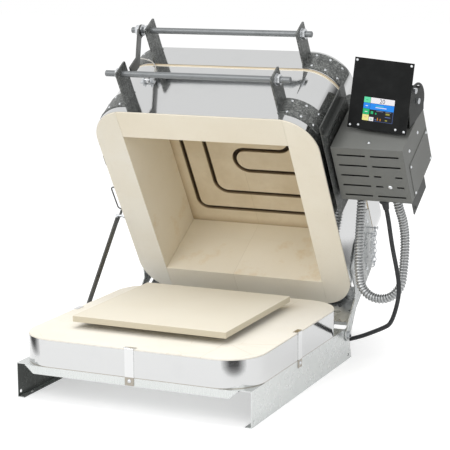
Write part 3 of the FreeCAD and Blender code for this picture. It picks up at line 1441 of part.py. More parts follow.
def build_controller():
    save_open("controller_bracket", on_bracket(controller_bracket()))
    save_open("controller_case", on_face(controller_case()))
    save_open("controller_board", on_face(controller_board()))
    save_open("controller_plate", on_face(controller_plate()))
    save_open("controller_screen", on_face(controller_screen()))
    save_open("controller_screws", *[on_face(screw) for screw in controller_screws()])
    save_open("tilt_screws", *[on_bracket(screw) for screw in tilt_screws()])


def build_cord():
    exit_point = opened_point(shell_point(GLAND_X, BOX_LOW_OUT - GLAND_L, GLAND_DEPTH))
    down = opened_point(Y_AXIS) - opened_point(Vector(0, 0, 0))
    upper = [exit_point, exit_point + down * 27] + [Vector(*spot) for spot in CORD_UPPER]
    save("power_cord_upper", tube(upper, CORD_D, "power cord, upper"))
    save("power_cord_lower", tube([Vector(*spot) for spot in CORD_LOWER], CORD_D, "power cord, lower"))
    save("cord_coil", cord_coil())
    save("cord_plug", *cord_plug())


if __name__ == "__main__":
    os.makedirs("parts", exist_ok=True)
    build_stand()
    build_ring()
    build_lid()
    build_box()
    build_controller()
    build_cord()
    save_open("keeper_strap", keeper_strap())
    save("prop_strut", prop_strut())
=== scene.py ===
import json
import math

import bpy
from mathutils import Matrix, Vector

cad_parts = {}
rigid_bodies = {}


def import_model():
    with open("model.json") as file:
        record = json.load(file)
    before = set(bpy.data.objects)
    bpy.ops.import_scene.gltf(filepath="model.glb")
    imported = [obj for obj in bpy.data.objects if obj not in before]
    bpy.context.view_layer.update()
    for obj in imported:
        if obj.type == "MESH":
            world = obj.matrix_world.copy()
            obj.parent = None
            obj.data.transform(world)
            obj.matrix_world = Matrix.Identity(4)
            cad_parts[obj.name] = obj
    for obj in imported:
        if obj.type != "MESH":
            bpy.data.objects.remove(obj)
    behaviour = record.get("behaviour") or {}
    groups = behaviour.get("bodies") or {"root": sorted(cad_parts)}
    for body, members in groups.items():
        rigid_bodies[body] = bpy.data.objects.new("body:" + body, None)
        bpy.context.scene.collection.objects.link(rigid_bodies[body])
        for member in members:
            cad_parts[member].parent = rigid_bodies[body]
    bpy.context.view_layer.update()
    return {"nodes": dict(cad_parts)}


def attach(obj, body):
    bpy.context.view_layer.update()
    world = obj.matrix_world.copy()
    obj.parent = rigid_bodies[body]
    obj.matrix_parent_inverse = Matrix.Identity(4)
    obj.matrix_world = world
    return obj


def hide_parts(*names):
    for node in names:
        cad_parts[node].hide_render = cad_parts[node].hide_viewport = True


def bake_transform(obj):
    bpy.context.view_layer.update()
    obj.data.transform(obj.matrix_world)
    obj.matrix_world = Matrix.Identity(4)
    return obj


# Electric kiln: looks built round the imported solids. Metres; X right, Y back, Z up.

MM = 0.001
FRAME_PX = 450

# The photograph's camera, fitted over the slab, the ring and the rods
CAMERA_AT = (1.32438, -2.70573, 0.88603)
CAMERA_TURN = 24.21
CAMERA_DROP = 10.81
CAMERA_ROLL = -0.24
FOCAL_PX = 1544.4
CENTRE_PX = (234.45, 227.86)

# Light: the surroundings, the floor's own glow and the lamps as (name, place, size, watts)
WORLD_LEVEL = 0.78
FLOOR_GREY = 0.72
FLOOR_GLOW = 0.34
FLOOR_LIFT = 0.13
LAMPS = (("key", (-0.9, -2.4, 2.2), 1.7, 34),
         ("fill", (2.2, -1.8, 1.3), 1.6, 6),
         ("top", (0.0, 0.1, 2.6), 1.8, 21))

# Dark flags that only polished metal shows, as (name, middle, size across, size along, shade)
FLAGS = (("flag_right", (1.30, 1.05, 0.75), 0.80, 1.7, 0.03),
         ("flag_corner", (0.46, -0.54, 0.012), 0.20, 0.50, 0.05),
         ("flag_left", (-0.62, -0.20, 0.012), 0.20, 0.45, 0.10),
         ("flag_side", (0.66, 1.10, 0.012), 0.50, 0.55, 0.25))

# Where the shell tips: its pivots and the angle from closed to open, in millimetres
PIVOT = Vector((0, 260.25, 56.7)) * MM
OPEN = math.radians(58.7)
FRONT_Y = -247.65
RIM_Z = 127.6
WALL_IN = 184.15
ROOF_D = 165.7
COURSE_D = 114.3
STAND_TOP = 70.0

# Joints drawn on the bricks, in metres
REAR_JOINT_X = -0.022
SLAB_JOINT_X = 0.150
SLAB_JOINT_Y = -0.060
HAIRLINE = 0.0006

# Sizes of the floor, where the lamps aim, and samples of the edge and corner masks
FLOOR_HALF = 12
LAMP_AIM = (0, 0.05, 0.25)
FLAG_AIM = (0, 0, 0.2)
EDGE_SAMPLES = 6
CORNER_SAMPLES = 8
WELD_GAP = 0.00002

# Controller face
SWIVEL = math.radians(8.1)
TILT = math.radians(36.5)
FACE_AT = (344.4, -169.05, 196.7)
FACE_LIFT = 8.6
SCREEN_LEFT = -33.6
SCREEN_UP = 18.0
SCREEN_W = 66.0
SCREEN_H = 46.0
SCREEN_SUNK = 0.4

# Conduit and power cord: the same points as their solids
CORD_D = 9.0
CONDUIT_D = 20.0
CONDUIT_RIB = 6.2
CONDUIT_RIDGE = 2.1
CONDUIT_EXIT = (350, -226, 96)
CONDUIT_END = (268, -250, 155.4)
CONDUIT_LOOP = [(353, 275, 333), (359, 288, 304), (361, 297, 270), (361, 298, 235), (360, 293, 196),
                (359, 282, 162), (338, 272, 139), (307, 261, 138), (284, 250, 160), (280, 245, 195),
                (278, 247, 232), (276, 256, 270), (274, 267, 305), (272, 279, 338)]
GLAND_END = (350, -237, 30)
CORD_UPPER = [(352, 228, 285), (356, 234, 250), (363, 237, 215), (369, 238, 180), (368.5, 237.5, 147)]
CORD_LOWER = [(348.375, 254.125, 91), (327, 264.5, 77), (304, 271.5, 65), (280, 277.5, 53),
              (257, 284.5, 43.5), (233, 293.5, 34), (210, 304, 23), (188, 313, 13.5), (168, 319.5, 7),
              (152, 322, 4.5), (139, 322, 4.5)]
COIL_AT = (100.0, 372.0)
COIL_TURNS = ((4.5, 54.5), (4.5, 45.5), (13.5, 45.5), (13.5, 54.5))
POINTS_PER_TURN = 14
COIL_LEAVE = [(98, 318.5, 13.5), (78, 321, 13.5), (56, 322, 13.5)]

# Roof element: (x, out, corner radius) along its groove, and the wire wound in it
ELEMENT = [(182, -104, 0), (-156, -104, 22), (-156, -391, 22), (154, -391, 24.5), (154, -341, 24.5),
           (-101, -341, 28), (-101, -154, 28), (102, -154, 31.5), (102, -218, 31.5), (-37.5, -218, 29),
           (-37.5, -277, 29), (182, -277, 0)]
ELEMENT_DEPTH = 172.5
ELEMENT_COIL = 8.4
ELEMENT_WIRE = 1.4
ELEMENT_PITCH = 3.4

# Thin wire from the ring's band over the seam to the lid's left corner plate: (x, out, depth)
SEAM_WIRE = [(-152.5, 2.4, 138), (-152.8, 4.5, 147), (-157.5, 6, 157), (-168.8, 6.5, 168.6), (-187, 6, 177),
             (-205, 5.2, 181)]
SEAM_WIRE_D = 2.6

# What the screen shows: (left, right, bottom, top) as shares of the screen, and a colour's name
TILES = [(0.00, 0.21, 0.76, 1.00, "mint"), (0.00, 0.21, 0.51, 0.75, "blue"),
         (0.00, 0.21, 0.26, 0.50, "green"), (0.00, 0.21, 0.00, 0.25, "yellow"),
         (0.22, 1.00, 0.76, 1.00, "white"), (0.22, 1.00, 0.49, 0.75, "blue"),
         (0.22, 0.37, 0.00, 0.17, "white")]
MARKS = [(0.07, 0.14, 0.86, 0.89, "green"), (0.07, 0.14, 0.61, 0.64, "white"),
         (0.06, 0.15, 0.36, 0.39, "white"), (0.07, 0.14, 0.13, 0.16, "rose"),
         (0.40, 0.76, 0.58, 0.61, "white"), (0.40, 0.66, 0.65, 0.67, "mint"),
         (0.26, 0.34, 0.30, 0.42, "green"), (0.41, 0.45, 0.30, 0.37, "green"),
         (0.44, 0.66, 0.44, 0.46, "grey"), (0.74, 0.92, 0.44, 0.46, "grey"),
         (0.75, 0.88, 0.33, 0.40, "olive"), (0.74, 0.92, 0.22, 0.25, "steel"),
         (0.42, 0.47, 0.06, 0.10, "steel"), (0.49, 0.52, 0.05, 0.17, "orange"),
         (0.58, 0.61, 0.05, 0.14, "orange"), (0.75, 0.82, 0.07, 0.12, "olive"),
         (0.27, 0.32, 0.06, 0.10, "green"), (0.38, 0.99, 0.005, 0.015, "steel"),
         (0.985, 0.995, 0.005, 0.48, "steel")]
GLOWS = {"mint": (0.13, 0.78, 0.42), "blue": (0.01, 0.28, 0.95), "green": (0.01, 0.50, 0.18),
         "yellow": (0.92, 0.86, 0.30), "white": (0.95, 0.92, 0.95), "rose": (0.90, 0.35, 0.35),
         "grey": (0.26, 0.30, 0.45), "olive": (0.36, 0.34, 0.05), "steel": (0.10, 0.16, 0.42),
         "orange": (0.62, 0.22, 0.02), "ink": (0.01, 0.02, 0.06)}
HEADER_NUMBER = "20"
HEADER_SIZE = 12.0
HEADER_AT = (0.6, 0.79)


def shell_spot(x, out, depth):
    """A point given in the closed shell's distances, tipped open, in metres."""
    closed = Vector((x, FRONT_Y - out, RIM_Z + depth)) * MM
    return PIVOT + Matrix.Rotation(-OPEN, 3, "X") @ (closed - PIVOT)


def shell_way(x, y, z):
    """A direction of the closed shell, tipped open."""
    return Matrix.Rotation(-OPEN, 3, "X") @ Vector((x, y, z))


def face_place(x, y, z):
    """The matrix of a spot on the controller's face: x across, y up the face, z towards the user."""
    across = Vector((math.cos(SWIVEL), 0, -math.sin(SWIVEL)))
    away = Vector((0, -1, 0))
    user = across.cross(away)
    up = away * math.cos(TILT) - user * math.sin(TILT)
    front = across.cross(up)
    closed = Vector(FACE_AT) + away * FACE_LIFT + across * x + up * y + front * z
    turn = Matrix.Rotation(-OPEN, 3, "X")
    spot = PIVOT + turn @ (closed * MM - PIVOT)
    axes = turn @ Matrix((across, up, front)).transposed()
    return Matrix.Translation(spot) @ axes.to_4x4()


class Paint:
    """A procedural material, built node by node on the shader."""

    def __init__(self, name, colour, roughness, metallic=0.0, **sockets):
        self.material = bpy.data.materials.new(name)
        self.material.use_nodes = True
        self.tree = self.material.node_tree
        self.shader = self.tree.nodes["Principled BSDF"]
        self.colour = (*colour, 1.0)
        self.shader.inputs["Base Color"].default_value = self.colour
        self.shader.inputs["Roughness"].default_value = roughness
        self.shader.inputs["Metallic"].default_value = metallic
        for socket, value in sockets.items():
            self.shader.inputs[socket.replace("_", " ")].default_value = value
        self.place = self.put("ShaderNodeTexCoord", {}, out="Object")

    def put(self, kind, inputs, out=0, **settings):
        """Add a node, set or link its inputs, and return one of its outputs."""
        node = self.tree.nodes.new(kind)
        for key, value in settings.items():
            setattr(node, key, value)
        for key, value in inputs.items():
            if isinstance(value, bpy.types.NodeSocket):
                self.tree.links.new(value, node.inputs[key])
            else:
                node.inputs[key].default_value = value
        return node.outputs[out]

    def closed(self):
        """Coordinates of the closed shell, so that marks follow its edges."""
        shift = PIVOT - Matrix.Rotation(OPEN, 3, "X") @ PIVOT
        return self.put("ShaderNodeMapping", {"Vector": self.place, "Location": shift,
                                              "Rotation": (OPEN, 0, 0)})

    def stretched(self, scale, place=None):
        """Coordinates scaled differently along X, Y and Z."""
        return self.put("ShaderNodeMapping", {"Vector": place or self.place, "Scale": scale})

    def axes(self, place=None):
        """The three coordinates as separate values."""
        node = self.put("ShaderNodeSeparateXYZ", {"Vector": place or self.place}).node
        return node.outputs[0], node.outputs[1], node.outputs[2]

    def math(self, operation, a, b=0.0, c=0.0):
        """A sum, product or other operation on values."""
        return self.put("ShaderNodeMath", {0: a, 1: b, 2: c}, operation=operation)

    def both(self, first, *others):
        """The product of masks."""
        for other in others:
            first = self.math("MULTIPLY", first, other)
        return first

    def over(self, value, limit):
        """One where a value is above a limit."""
        return self.math("GREATER_THAN", value, limit)

    def under(self, value, limit):
        """One where a value is below a limit."""
        return self.math("LESS_THAN", value, limit)

    def noise(self, scale, detail=3.0, rough=0.55, place=None):
        """Soft noise."""
        return self.put("ShaderNodeTexNoise", {"Vector": place or self.place, "Scale": scale,
                                               "Detail": detail, "Roughness": rough}, out="Fac")

    def cells(self, scale, place=None, feature="F1", out="Distance"):
        """Irregular cells."""
        return self.put("ShaderNodeTexVoronoi", {"Vector": place or self.place, "Scale": scale},
                        out=out, feature=feature)

    def span(self, value, low, high, to_low=0.0, to_high=1.0):
        """Carry a value from one range to another and clamp it."""
        return self.put("ShaderNodeMapRange", {"Value": value, "From Min": low, "From Max": high,
                                               "To Min": to_low, "To Max": to_high})

    def line(self, value, middle, half):
        """A thin line where a value passes a middle."""
        return self.span(self.math("ABSOLUTE", self.math("SUBTRACT", value, middle)), half, half / 3)

    def tint(self, mask, colour):
        """Lay a colour over what is there, as strong as the mask."""
        socket = self.shader.inputs["Base Color"]
        under = socket.links[0].from_socket if socket.links else self.colour
        node = self.tree.nodes.new("ShaderNodeMix")
        node.data_type = "RGBA"
        for key, value in (("Factor", mask), ("A", under), ("B", (*colour, 1.0))):
            target = [s for s in node.inputs if s.name == key and s.enabled][0]
            if isinstance(value, bpy.types.NodeSocket):
                self.tree.links.new(value, target)
            else:
                target.default_value = value
        result = [s for s in node.outputs if s.enabled][0]
        self.tree.links.new(result, socket)
        return self

    def rough(self, mask, low, high):
        """Roughness that runs between two values with a mask."""
        self.tree.links.new(self.span(mask, 0, 1, low, high), self.shader.inputs["Roughness"])
        return self

    def bump(self, height, strength, distance):
        """Add a bump; a second call stacks on the first."""
        socket = self.shader.inputs["Normal"]
        inputs = {"Height": height, "Strength": strength, "Distance": distance}
        if socket.links:
            inputs["Normal"] = socket.links[0].from_socket
        self.tree.links.new(self.put("ShaderNodeBump", inputs), socket)
        return self

    def worn_edges(self, colour, strength=0.6, reach=0.7):
        """Lighter or barer colour along edges, broken up by noise."""
        rounded = self.put("ShaderNodeBevel", {"Radius": reach * MM}, samples=EDGE_SAMPLES)
        flat = self.put("ShaderNodeNewGeometry", {}, out="Normal")
        match = self.put("ShaderNodeVectorMath", {0: rounded, 1: flat}, out="Value",
                         operation="DOT_PRODUCT")
        edge = self.span(match, 0.995, 0.90)
        patchy = self.span(self.noise(220.0, 3.0, 0.6), 0.35, 0.6, 0.35, 1.0)
        self.tint(self.both(edge, patchy, strength), colour)
        return self


# Materials

def firebrick(name, colour, dark, bricks=False):
    """Soft insulating brick: pale and porous, with small pits, slow drifts of colour and brick tones."""
    paint = Paint(name, colour, 0.94, Specular_IOR_Level=0.25)
    place = paint.closed() if bricks else paint.place
    if bricks:
        brick_tones(paint, place)
    paint.tint(paint.span(paint.noise(7.0, 2.0, place=place), 0.38, 0.72, 0.0, 0.35), dark)
    paint.tint(paint.span(paint.noise(60.0, 4.0, 0.7, place=place), 0.54, 0.8, 0.0, 0.22), dark)
    spread = paint.span(paint.noise(26.0, 3.0, place=place), 0.53, 0.68)
    pits = paint.both(paint.span(paint.cells(300.0, place), 0.15, 0.07), spread)
    paint.tint(paint.both(pits, 0.6), (0.40, 0.31, 0.19))
    grain = paint.noise(900.0, 2.0, 0.7, place=place)
    paint.bump(paint.math("SUBTRACT", grain, pits), 0.35, 0.0006)
    return paint


def brick_tones(paint, place):
    """A tone for each brick of the ring, and the hairline joint in the rear ones."""
    x, y, z = paint.axes(place)
    side = paint.math("ADD", paint.over(x, -WALL_IN * MM), paint.over(x, WALL_IN * MM))
    back = paint.both(paint.over(y, 0.0), paint.under(paint.math("ABSOLUTE", x), WALL_IN * MM))
    half = paint.both(back, paint.over(x, REAR_JOINT_X))
    course = paint.over(z, (RIM_Z + COURSE_D) * MM)
    code = paint.put("ShaderNodeCombineXYZ", {"X": side, "Y": paint.math("ADD", back, half), "Z": course})
    tone = paint.put("ShaderNodeTexWhiteNoise", {"Vector": code}, out="Value")
    paint.tint(paint.span(tone, 0.0, 1.0, 0.0, 0.22), (0.64, 0.57, 0.43))
    paint.tint(paint.both(paint.under(x, -WALL_IN * MM), 0.75), (0.80, 0.775, 0.70))
    paint.tint(paint.both(back, paint.line(x, REAR_JOINT_X, HAIRLINE), 0.5), (0.45, 0.37, 0.25))


def ring_brick():
    """Ring brick, warmer inside the chamber, with a few firing stains."""
    paint = firebrick("ring_brick", (0.85, 0.795, 0.675), (0.72, 0.64, 0.49), True)
    place = paint.closed()
    x, y, z = paint.axes(place)
    inside = paint.both(paint.under(paint.math("ABSOLUTE", x), (WALL_IN + 0.5) * MM),
                        paint.under(paint.math("ABSOLUTE", y), (WALL_IN + 0.5) * MM))
    depth = paint.span(z, RIM_Z * MM, (RIM_Z + ROOF_D) * MM, 0.05, 0.55)
    paint.tint(paint.both(inside, depth), (0.84, 0.755, 0.58))
    stains = paint.span(paint.noise(13.0, 5.0, 0.65, place=place), 0.56, 0.78, 0.0, 0.6)
    paint.tint(paint.both(inside, stains), (0.66, 0.47, 0.22))
    return paint.material


def roof_brick():
    """Roof brick, browned by the element, with a brown stain and painted shade in its hollows, and painted
    shade darker in its groove.
    """
    paint = firebrick("roof_brick", (0.79, 0.69, 0.52), (0.62, 0.52, 0.36), True)
    place = paint.closed()
    z = paint.axes(place)[2]
    # Brown stain near the element's groove, laid with an occlusion mask, so it is also painted shade in
    # every hollow and corner.
    occlusion = paint.put("ShaderNodeAmbientOcclusion", {"Distance": 0.02}, out="AO", samples=CORNER_SAMPLES)
    paint.tint(paint.span(occlusion, 0.95, 0.35, 0.0, 0.75), (0.40, 0.28, 0.14))
    scorched = paint.span(paint.noise(11.0, 5.0, 0.65, place=place), 0.42, 0.75, 0.0, 0.35)
    paint.tint(scorched, (0.50, 0.36, 0.19))
    # Painted shade: the groove's walls are painted dark, as in the groove's shadow.
    groove = paint.span(z, (RIM_Z + ROOF_D + 0.8) * MM, (RIM_Z + ROOF_D + 6.0) * MM)
    sunken = paint.span(z, (RIM_Z + ROOF_D + 12.0) * MM, (RIM_Z + ROOF_D + 11.2) * MM)
    paint.tint(paint.both(groove, sunken, 0.8), (0.16, 0.10, 0.05))
    return paint.material


def slab_brick():
    """Floor slab: the palest brick, with joints along and across and a few hairline cracks."""
    paint = firebrick("slab_brick", (0.89, 0.855, 0.77), (0.80, 0.74, 0.61))
    x, y, _ = paint.axes()
    wander = paint.span(paint.noise(9.0, 2.0), 0.0, 1.0, -0.0015, 0.0015)
    joint = paint.line(paint.math("ADD", x, wander), SLAB_JOINT_X, 0.0007)
    across = paint.both(paint.line(paint.math("ADD", y, wander), SLAB_JOINT_Y, HAIRLINE),
                        paint.under(x, SLAB_JOINT_X))
    joints = paint.math("MAXIMUM", joint, across)
    broken = paint.span(paint.noise(30.0, 3.0), 0.35, 0.6, 0.1, 0.7)
    paint.tint(paint.both(joints, broken), (0.56, 0.47, 0.33))
    cracks = paint.span(paint.cells(14.0, feature="DISTANCE_TO_EDGE"), 0.012, 0.0)
    rare = paint.span(paint.noise(4.0, 2.0), 0.58, 0.66)
    paint.tint(paint.both(cracks, rare, 0.55), (0.55, 0.45, 0.30))
    paint.bump(paint.math("MULTIPLY", joints, -1.0), 0.3, 0.0008)
    return paint.material


def shelf_stone():
    """Cast shelf: smoother and a little greyer than the brick, with fine specks and painted shade on its
    sides.
    """
    paint = Paint("shelf_stone", (0.765, 0.72, 0.61), 0.8, Specular_IOR_Level=0.25)
    paint.tint(paint.span(paint.noise(5.0, 3.0), 0.4, 0.7, 0.0, 0.4), (0.71, 0.65, 0.52))
    specks = paint.span(paint.cells(260.0), 0.11, 0.06)
    paint.tint(paint.both(specks, paint.span(paint.noise(20.0), 0.5, 0.7), 0.5), (0.45, 0.36, 0.24))
    # Painted shade: faces that stand up, such as the shelf's edges and the posts' sides, are painted darker
    # than the tops.
    nz = paint.axes(paint.put("ShaderNodeNewGeometry", {}, out="Normal"))[2]
    paint.tint(paint.span(paint.math("ABSOLUTE", nz), 0.7, 0.4), (0.585, 0.53, 0.41))
    paint.bump(paint.noise(500.0, 3.0, 0.6), 0.2, 0.0004)
    return paint.material


def polished_band(name="polished_band", colour=(0.63, 0.635, 0.635), sealed=False):
    """Thin mirror-finish sheet with a little roll waviness and fine polishing lines."""
    paint = Paint(name, colour, 0.07, 1.0)
    place = paint.place if sealed else paint.closed()
    wave = paint.noise(4.0, 1.0, 0.4, place=paint.stretched((1.0, 1.0, 3.0), place))
    lines = paint.noise(60.0, 3.0, 0.6, place=paint.stretched((1.0, 1.0, 40.0), place))
    paint.bump(wave, 0.22, 0.004)
    paint.bump(lines, 0.035, 0.0002)
    paint.rough(lines, 0.04, 0.13)
    smears = paint.span(paint.noise(16.0, 4.0, place=place), 0.55, 0.8, 0.0, 0.18)
    paint.tint(smears, (0.52, 0.525, 0.53))
    if sealed:
        # Painted shade: the sheet is darker along its bottom, just above the stand's top, where the two
        # meet.
        z = paint.axes()[2]
        seam_shade = paint.span(z, (STAND_TOP + 1.6) * MM, (STAND_TOP + 0.9) * MM, 0.0, 0.8)
        paint.tint(seam_shade, (0.30, 0.26, 0.20))
    return paint.material


def spangled(name, colour, light, dark, scale=420.0, metal=0.6, rough=0.46):
    """Mottled finish of crystals a few millimetres across."""
    paint = Paint(name, colour, rough, metal)
    place = paint.closed()
    fine = paint.cells(scale, place, out="Color")
    coarse = paint.cells(scale / 3, place, out="Color")
    shade = paint.put("ShaderNodeSeparateColor", {"Color": fine})
    patch = paint.put("ShaderNodeSeparateColor", {"Color": coarse}, out=1)
    paint.tint(paint.span(shade, 0.5, 0.95, 0.0, 0.8), light)
    paint.tint(paint.span(shade, 0.42, 0.05, 0.0, 0.75), dark)
    paint.tint(paint.span(patch, 0.6, 1.0, 0.0, 0.45), dark)
    paint.tint(paint.span(paint.noise(650.0, 3.0), 0.55, 0.75, 0.0, 0.4), light)
    paint.rough(shade, rough - 0.1, rough + 0.14)
    paint.bump(shade, 0.2, 0.0003)
    paint.worn_edges(light, 0.7)
    return paint.material


def powder_coat(name, colour, light, grain=1400.0, rough=0.48):
    """Fine orange-peel paint."""
    paint = Paint(name, colour, rough, Specular_IOR_Level=0.3)
    peel = paint.noise(grain, 2.0, 0.6)
    paint.bump(peel, 0.22, 0.00025)
    paint.tint(paint.span(paint.noise(9.0, 3.0), 0.4, 0.75, 0.0, 0.3), light)
    paint.tint(paint.span(paint.noise(240.0, 3.0, 0.7), 0.6, 0.8, 0.0, 0.25), light)
    paint.rough(peel, rough - 0.08, rough + 0.1)
    paint.worn_edges(light, 0.8, 0.5)
    return paint.material


def stand_paint():
    """Bright sheet with a satin sheen and faint rolling marks, and nearly black painted shade on the inner
    faces of the skirts.
    """
    paint = Paint("stand_steel", (0.66, 0.68, 0.67), 0.3, 0.85)
    lines = paint.noise(40.0, 3.0, 0.6, place=paint.stretched((30.0, 1.0, 1.0)))
    paint.rough(lines, 0.2, 0.36)
    paint.bump(lines, 0.04, 0.0002)
    paint.tint(paint.span(paint.noise(14.0, 4.0), 0.5, 0.75, 0.0, 0.3), (0.57, 0.60, 0.59))
    paint.worn_edges((0.78, 0.79, 0.79), 0.6)
    x, y, z = paint.axes()
    nx, ny, _ = paint.axes(paint.put("ShaderNodeNewGeometry", {}, out="Normal"))
    # Painted shade: faces that look inward, below the top sheet, are painted nearly black.
    inward = paint.under(paint.math("ADD", paint.both(x, nx), paint.both(y, ny)), -0.02)
    low = paint.under(z, (STAND_TOP - 1.0) * MM)
    paint.tint(paint.both(inward, low, 0.94), (0.06, 0.066, 0.06))
    return paint.material


def rod_paint(name, colour, light, rough=0.4):
    """Drawn bar, grey, lighter where hands polish it."""
    paint = Paint(name, colour, rough, 0.6)
    lines = paint.noise(50.0, 3.0, 0.6, place=paint.stretched((2.0, 30.0, 30.0)))
    paint.tint(paint.span(lines, 0.45, 0.75, 0.0, 0.5), light)
    paint.tint(paint.span(paint.noise(35.0, 4.0), 0.55, 0.75, 0.0, 0.35), tuple(0.6 * c for c in colour))
    paint.rough(lines, rough - 0.08, rough + 0.12)
    paint.bump(lines, 0.08, 0.0002)
    paint.worn_edges((0.42, 0.43, 0.43), 0.6, 0.5)
    return paint.material


def plated(name, colour, cloud_colour, rough=0.26):
    """Bright plated metal, a little clouded."""
    paint = Paint(name, colour, rough, 1.0)
    cloud = paint.noise(120.0, 4.0, 0.6)
    paint.tint(paint.span(cloud, 0.42, 0.75, 0.0, 0.7), cloud_colour)
    paint.tint(paint.span(paint.noise(700.0, 2.0), 0.6, 0.75, 0.0, 0.3), tuple(0.5 * c for c in colour))
    paint.rough(cloud, rough - 0.08, rough + 0.16)
    paint.bump(paint.noise(900.0), 0.06, 0.0001)
    return paint


def conduit_steel():
    """Galvanised conduit, with painted shade darker between its ridges."""
    paint = plated("conduit_steel", (0.52, 0.53, 0.53), (0.40, 0.41, 0.42), 0.32)
    # Painted shade: an occlusion mask darkens the hollows between the ridges.
    occlusion = paint.put("ShaderNodeAmbientOcclusion", {"Distance": 0.0035}, out="AO", samples=CORNER_SAMPLES)
    paint.tint(paint.span(occlusion, 0.98, 0.6, 0.0, 0.85), (0.10, 0.105, 0.105))
    return paint.material


def element_wire():
    """Oxidised resistance wire."""
    paint = Paint("element_wire", (0.06, 0.04, 0.022), 0.6, 0.4)
    paint.tint(paint.span(paint.noise(160.0, 3.0), 0.45, 0.7, 0.0, 0.6), (0.13, 0.09, 0.05))
    paint.bump(paint.noise(1500.0), 0.1, 0.0001)
    return paint.material


def black_sheet():
    """Satin black paint on the faceplate and case."""
    paint = Paint("black_paint", (0.009, 0.0095, 0.0095), 0.46, Specular_IOR_Level=0.09)
    peel = paint.noise(1600.0, 2.0)
    paint.bump(peel, 0.12, 0.0002)
    paint.tint(paint.span(paint.noise(30.0, 3.0), 0.45, 0.7, 0.0, 0.5), (0.019, 0.02, 0.02))
    paint.rough(peel, 0.4, 0.54)
    paint.worn_edges((0.10, 0.10, 0.10), 0.6, 0.5)
    return paint.material


def cord_jacket():
    """Dark grey rubber jacket, dulled by handling."""
    paint = Paint("cord_jacket", (0.028, 0.03, 0.032), 0.5, Specular_IOR_Level=0.3)
    paint.tint(paint.span(paint.noise(45.0, 4.0), 0.5, 0.75, 0.0, 0.6), (0.06, 0.062, 0.065))
    paint.bump(paint.noise(700.0), 0.08, 0.0002)
    return paint.material


def circuit_green():
    """Solder-masked board and dark relay cases."""
    paint = Paint("board", (0.02, 0.10, 0.045), 0.45)
    paint.tint(paint.span(paint.noise(90.0, 2.0), 0.5, 0.52, 0.0, 0.8), (0.012, 0.05, 0.025))
    paint.bump(paint.noise(300.0), 0.1, 0.0003)
    return paint.material


def display_glass():
    """Dark cover glass of the screen."""
    paint = Paint("screen_glass", (0.006, 0.007, 0.01), 0.08, Specular_IOR_Level=0.3)
    paint.rough(paint.noise(60.0, 3.0), 0.04, 0.14)
    return paint.material


def lit(name, colour):
    """A lit patch of the display, with the slight unevenness of its pixels."""
    paint = Paint(name, (0.01, 0.01, 0.012), 0.25, Specular_IOR_Level=0.2)
    shade = paint.span(paint.noise(700.0, 2.0), 0.3, 0.7, 0.82, 1.0)
    paint.shader.inputs["Emission Color"].default_value = (*colour, 1.0)
    paint.tree.links.new(shade, paint.shader.inputs["Emission Strength"])
    return paint.material


# Pieces

def mesh_piece(name, vertices, faces, material, smooth=True):
    """A mesh object from plain lists."""
    mesh = bpy.data.meshes.new(name)
    mesh.from_pydata([tuple(v) for v in vertices], [], faces)
    mesh.materials.append(material)
    if smooth:
        mesh.polygons.foreach_set("use_smooth", [True] * len(mesh.polygons))
    mesh.update()
    piece = bpy.data.objects.new(name, mesh)
    bpy.context.scene.collection.objects.link(piece)
    return piece


def flat_outline(half_x, half_y):
    """The corners of a flat rectangle about its middle."""
    return [(-half_x, -half_y, 0), (half_x, -half_y, 0), (half_x, half_y, 0), (-half_x, half_y, 0)]


def route_line(name, points, resolution=24):
    """The points of a smooth line over a route's control points."""
    curve = bpy.data.curves.new(name, "CURVE")
    curve.dimensions = "3D"
    curve.resolution_u = resolution
    spline = curve.splines.new("NURBS")
    spline.points.add(len(points) - 1)
    for spot, point in zip(points, spline.points):
        point.co = (*spot, 1.0)
    spline.order_u = 3
    spline.use_endpoint_u = True
    holder = bpy.data.objects.new(name, curve)
    bpy.context.scene.collection.objects.link(holder)
    bpy.context.view_layer.update()
    mesh = bpy.data.meshes.new_from_object(holder)
    line = [v.co.copy() for v in mesh.vertices]
    bpy.data.meshes.remove(mesh)
    bpy.data.objects.remove(holder)
    bpy.data.curves.remove(curve)
    return line


def stations(line, step):
    """Points at equal steps along a line, each with its distance from the start."""
    lengths = [0.0]
    for a, b in zip(line, line[1:]):
        lengths.append(lengths[-1] + (b - a).length)
    count = max(2, round(lengths[-1] / step))
    spots = []
    index = 0
    for k in range(count + 1):
        target = lengths[-1] * k / count
        while index < len(lengths) - 2 and lengths[index + 1] < target:
            index += 1
        run = lengths[index + 1] - lengths[index]
        share = (target - lengths[index]) / run if run else 0.0
        spots.append((line[index].lerp(line[index + 1], share), target))
    return spots


def swept(name, line, step, sides, radius, material):
    """A tube along a line whose radius may change with the distance and the angle."""
    spots = stations(line, step)
    rings = []
    side = (spots[1][0] - spots[0][0]).orthogonal().normalized()
    for index, (spot, distance) in enumerate(spots):
        ahead = spots[min(index + 1, len(spots) - 1)][0]
        behind = spots[max(index - 1, 0)][0]
        way = (ahead - behind).normalized()
        side = (side - way * side.dot(way)).normalized()
        other = way.cross(side)
        for k in range(sides):
            angle = 2 * math.pi * k / sides
            reach = side * math.cos(angle) + other * math.sin(angle)
            rings.append(spot + reach * radius(distance, angle))
    faces = []
    for index in range(len(spots) - 1):
        for k in range(sides):
            a = index * sides + k
            b = index * sides + (k + 1) % sides
            faces.append((a, b, b + sides, a + sides))
    faces.append(tuple(range(sides - 1, -1, -1)))
    faces.append(tuple(range(len(rings) - sides, len(rings))))
    return mesh_piece(name, rings, faces, material)


def metres(spots):
    """Spots in millimetres as vectors in metres."""
    return [Vector(spot) * MM for spot in spots]


def length_of(line):
    """The length of a line of points."""
    return sum((b - a).length for a, b in zip(line, line[1:]))


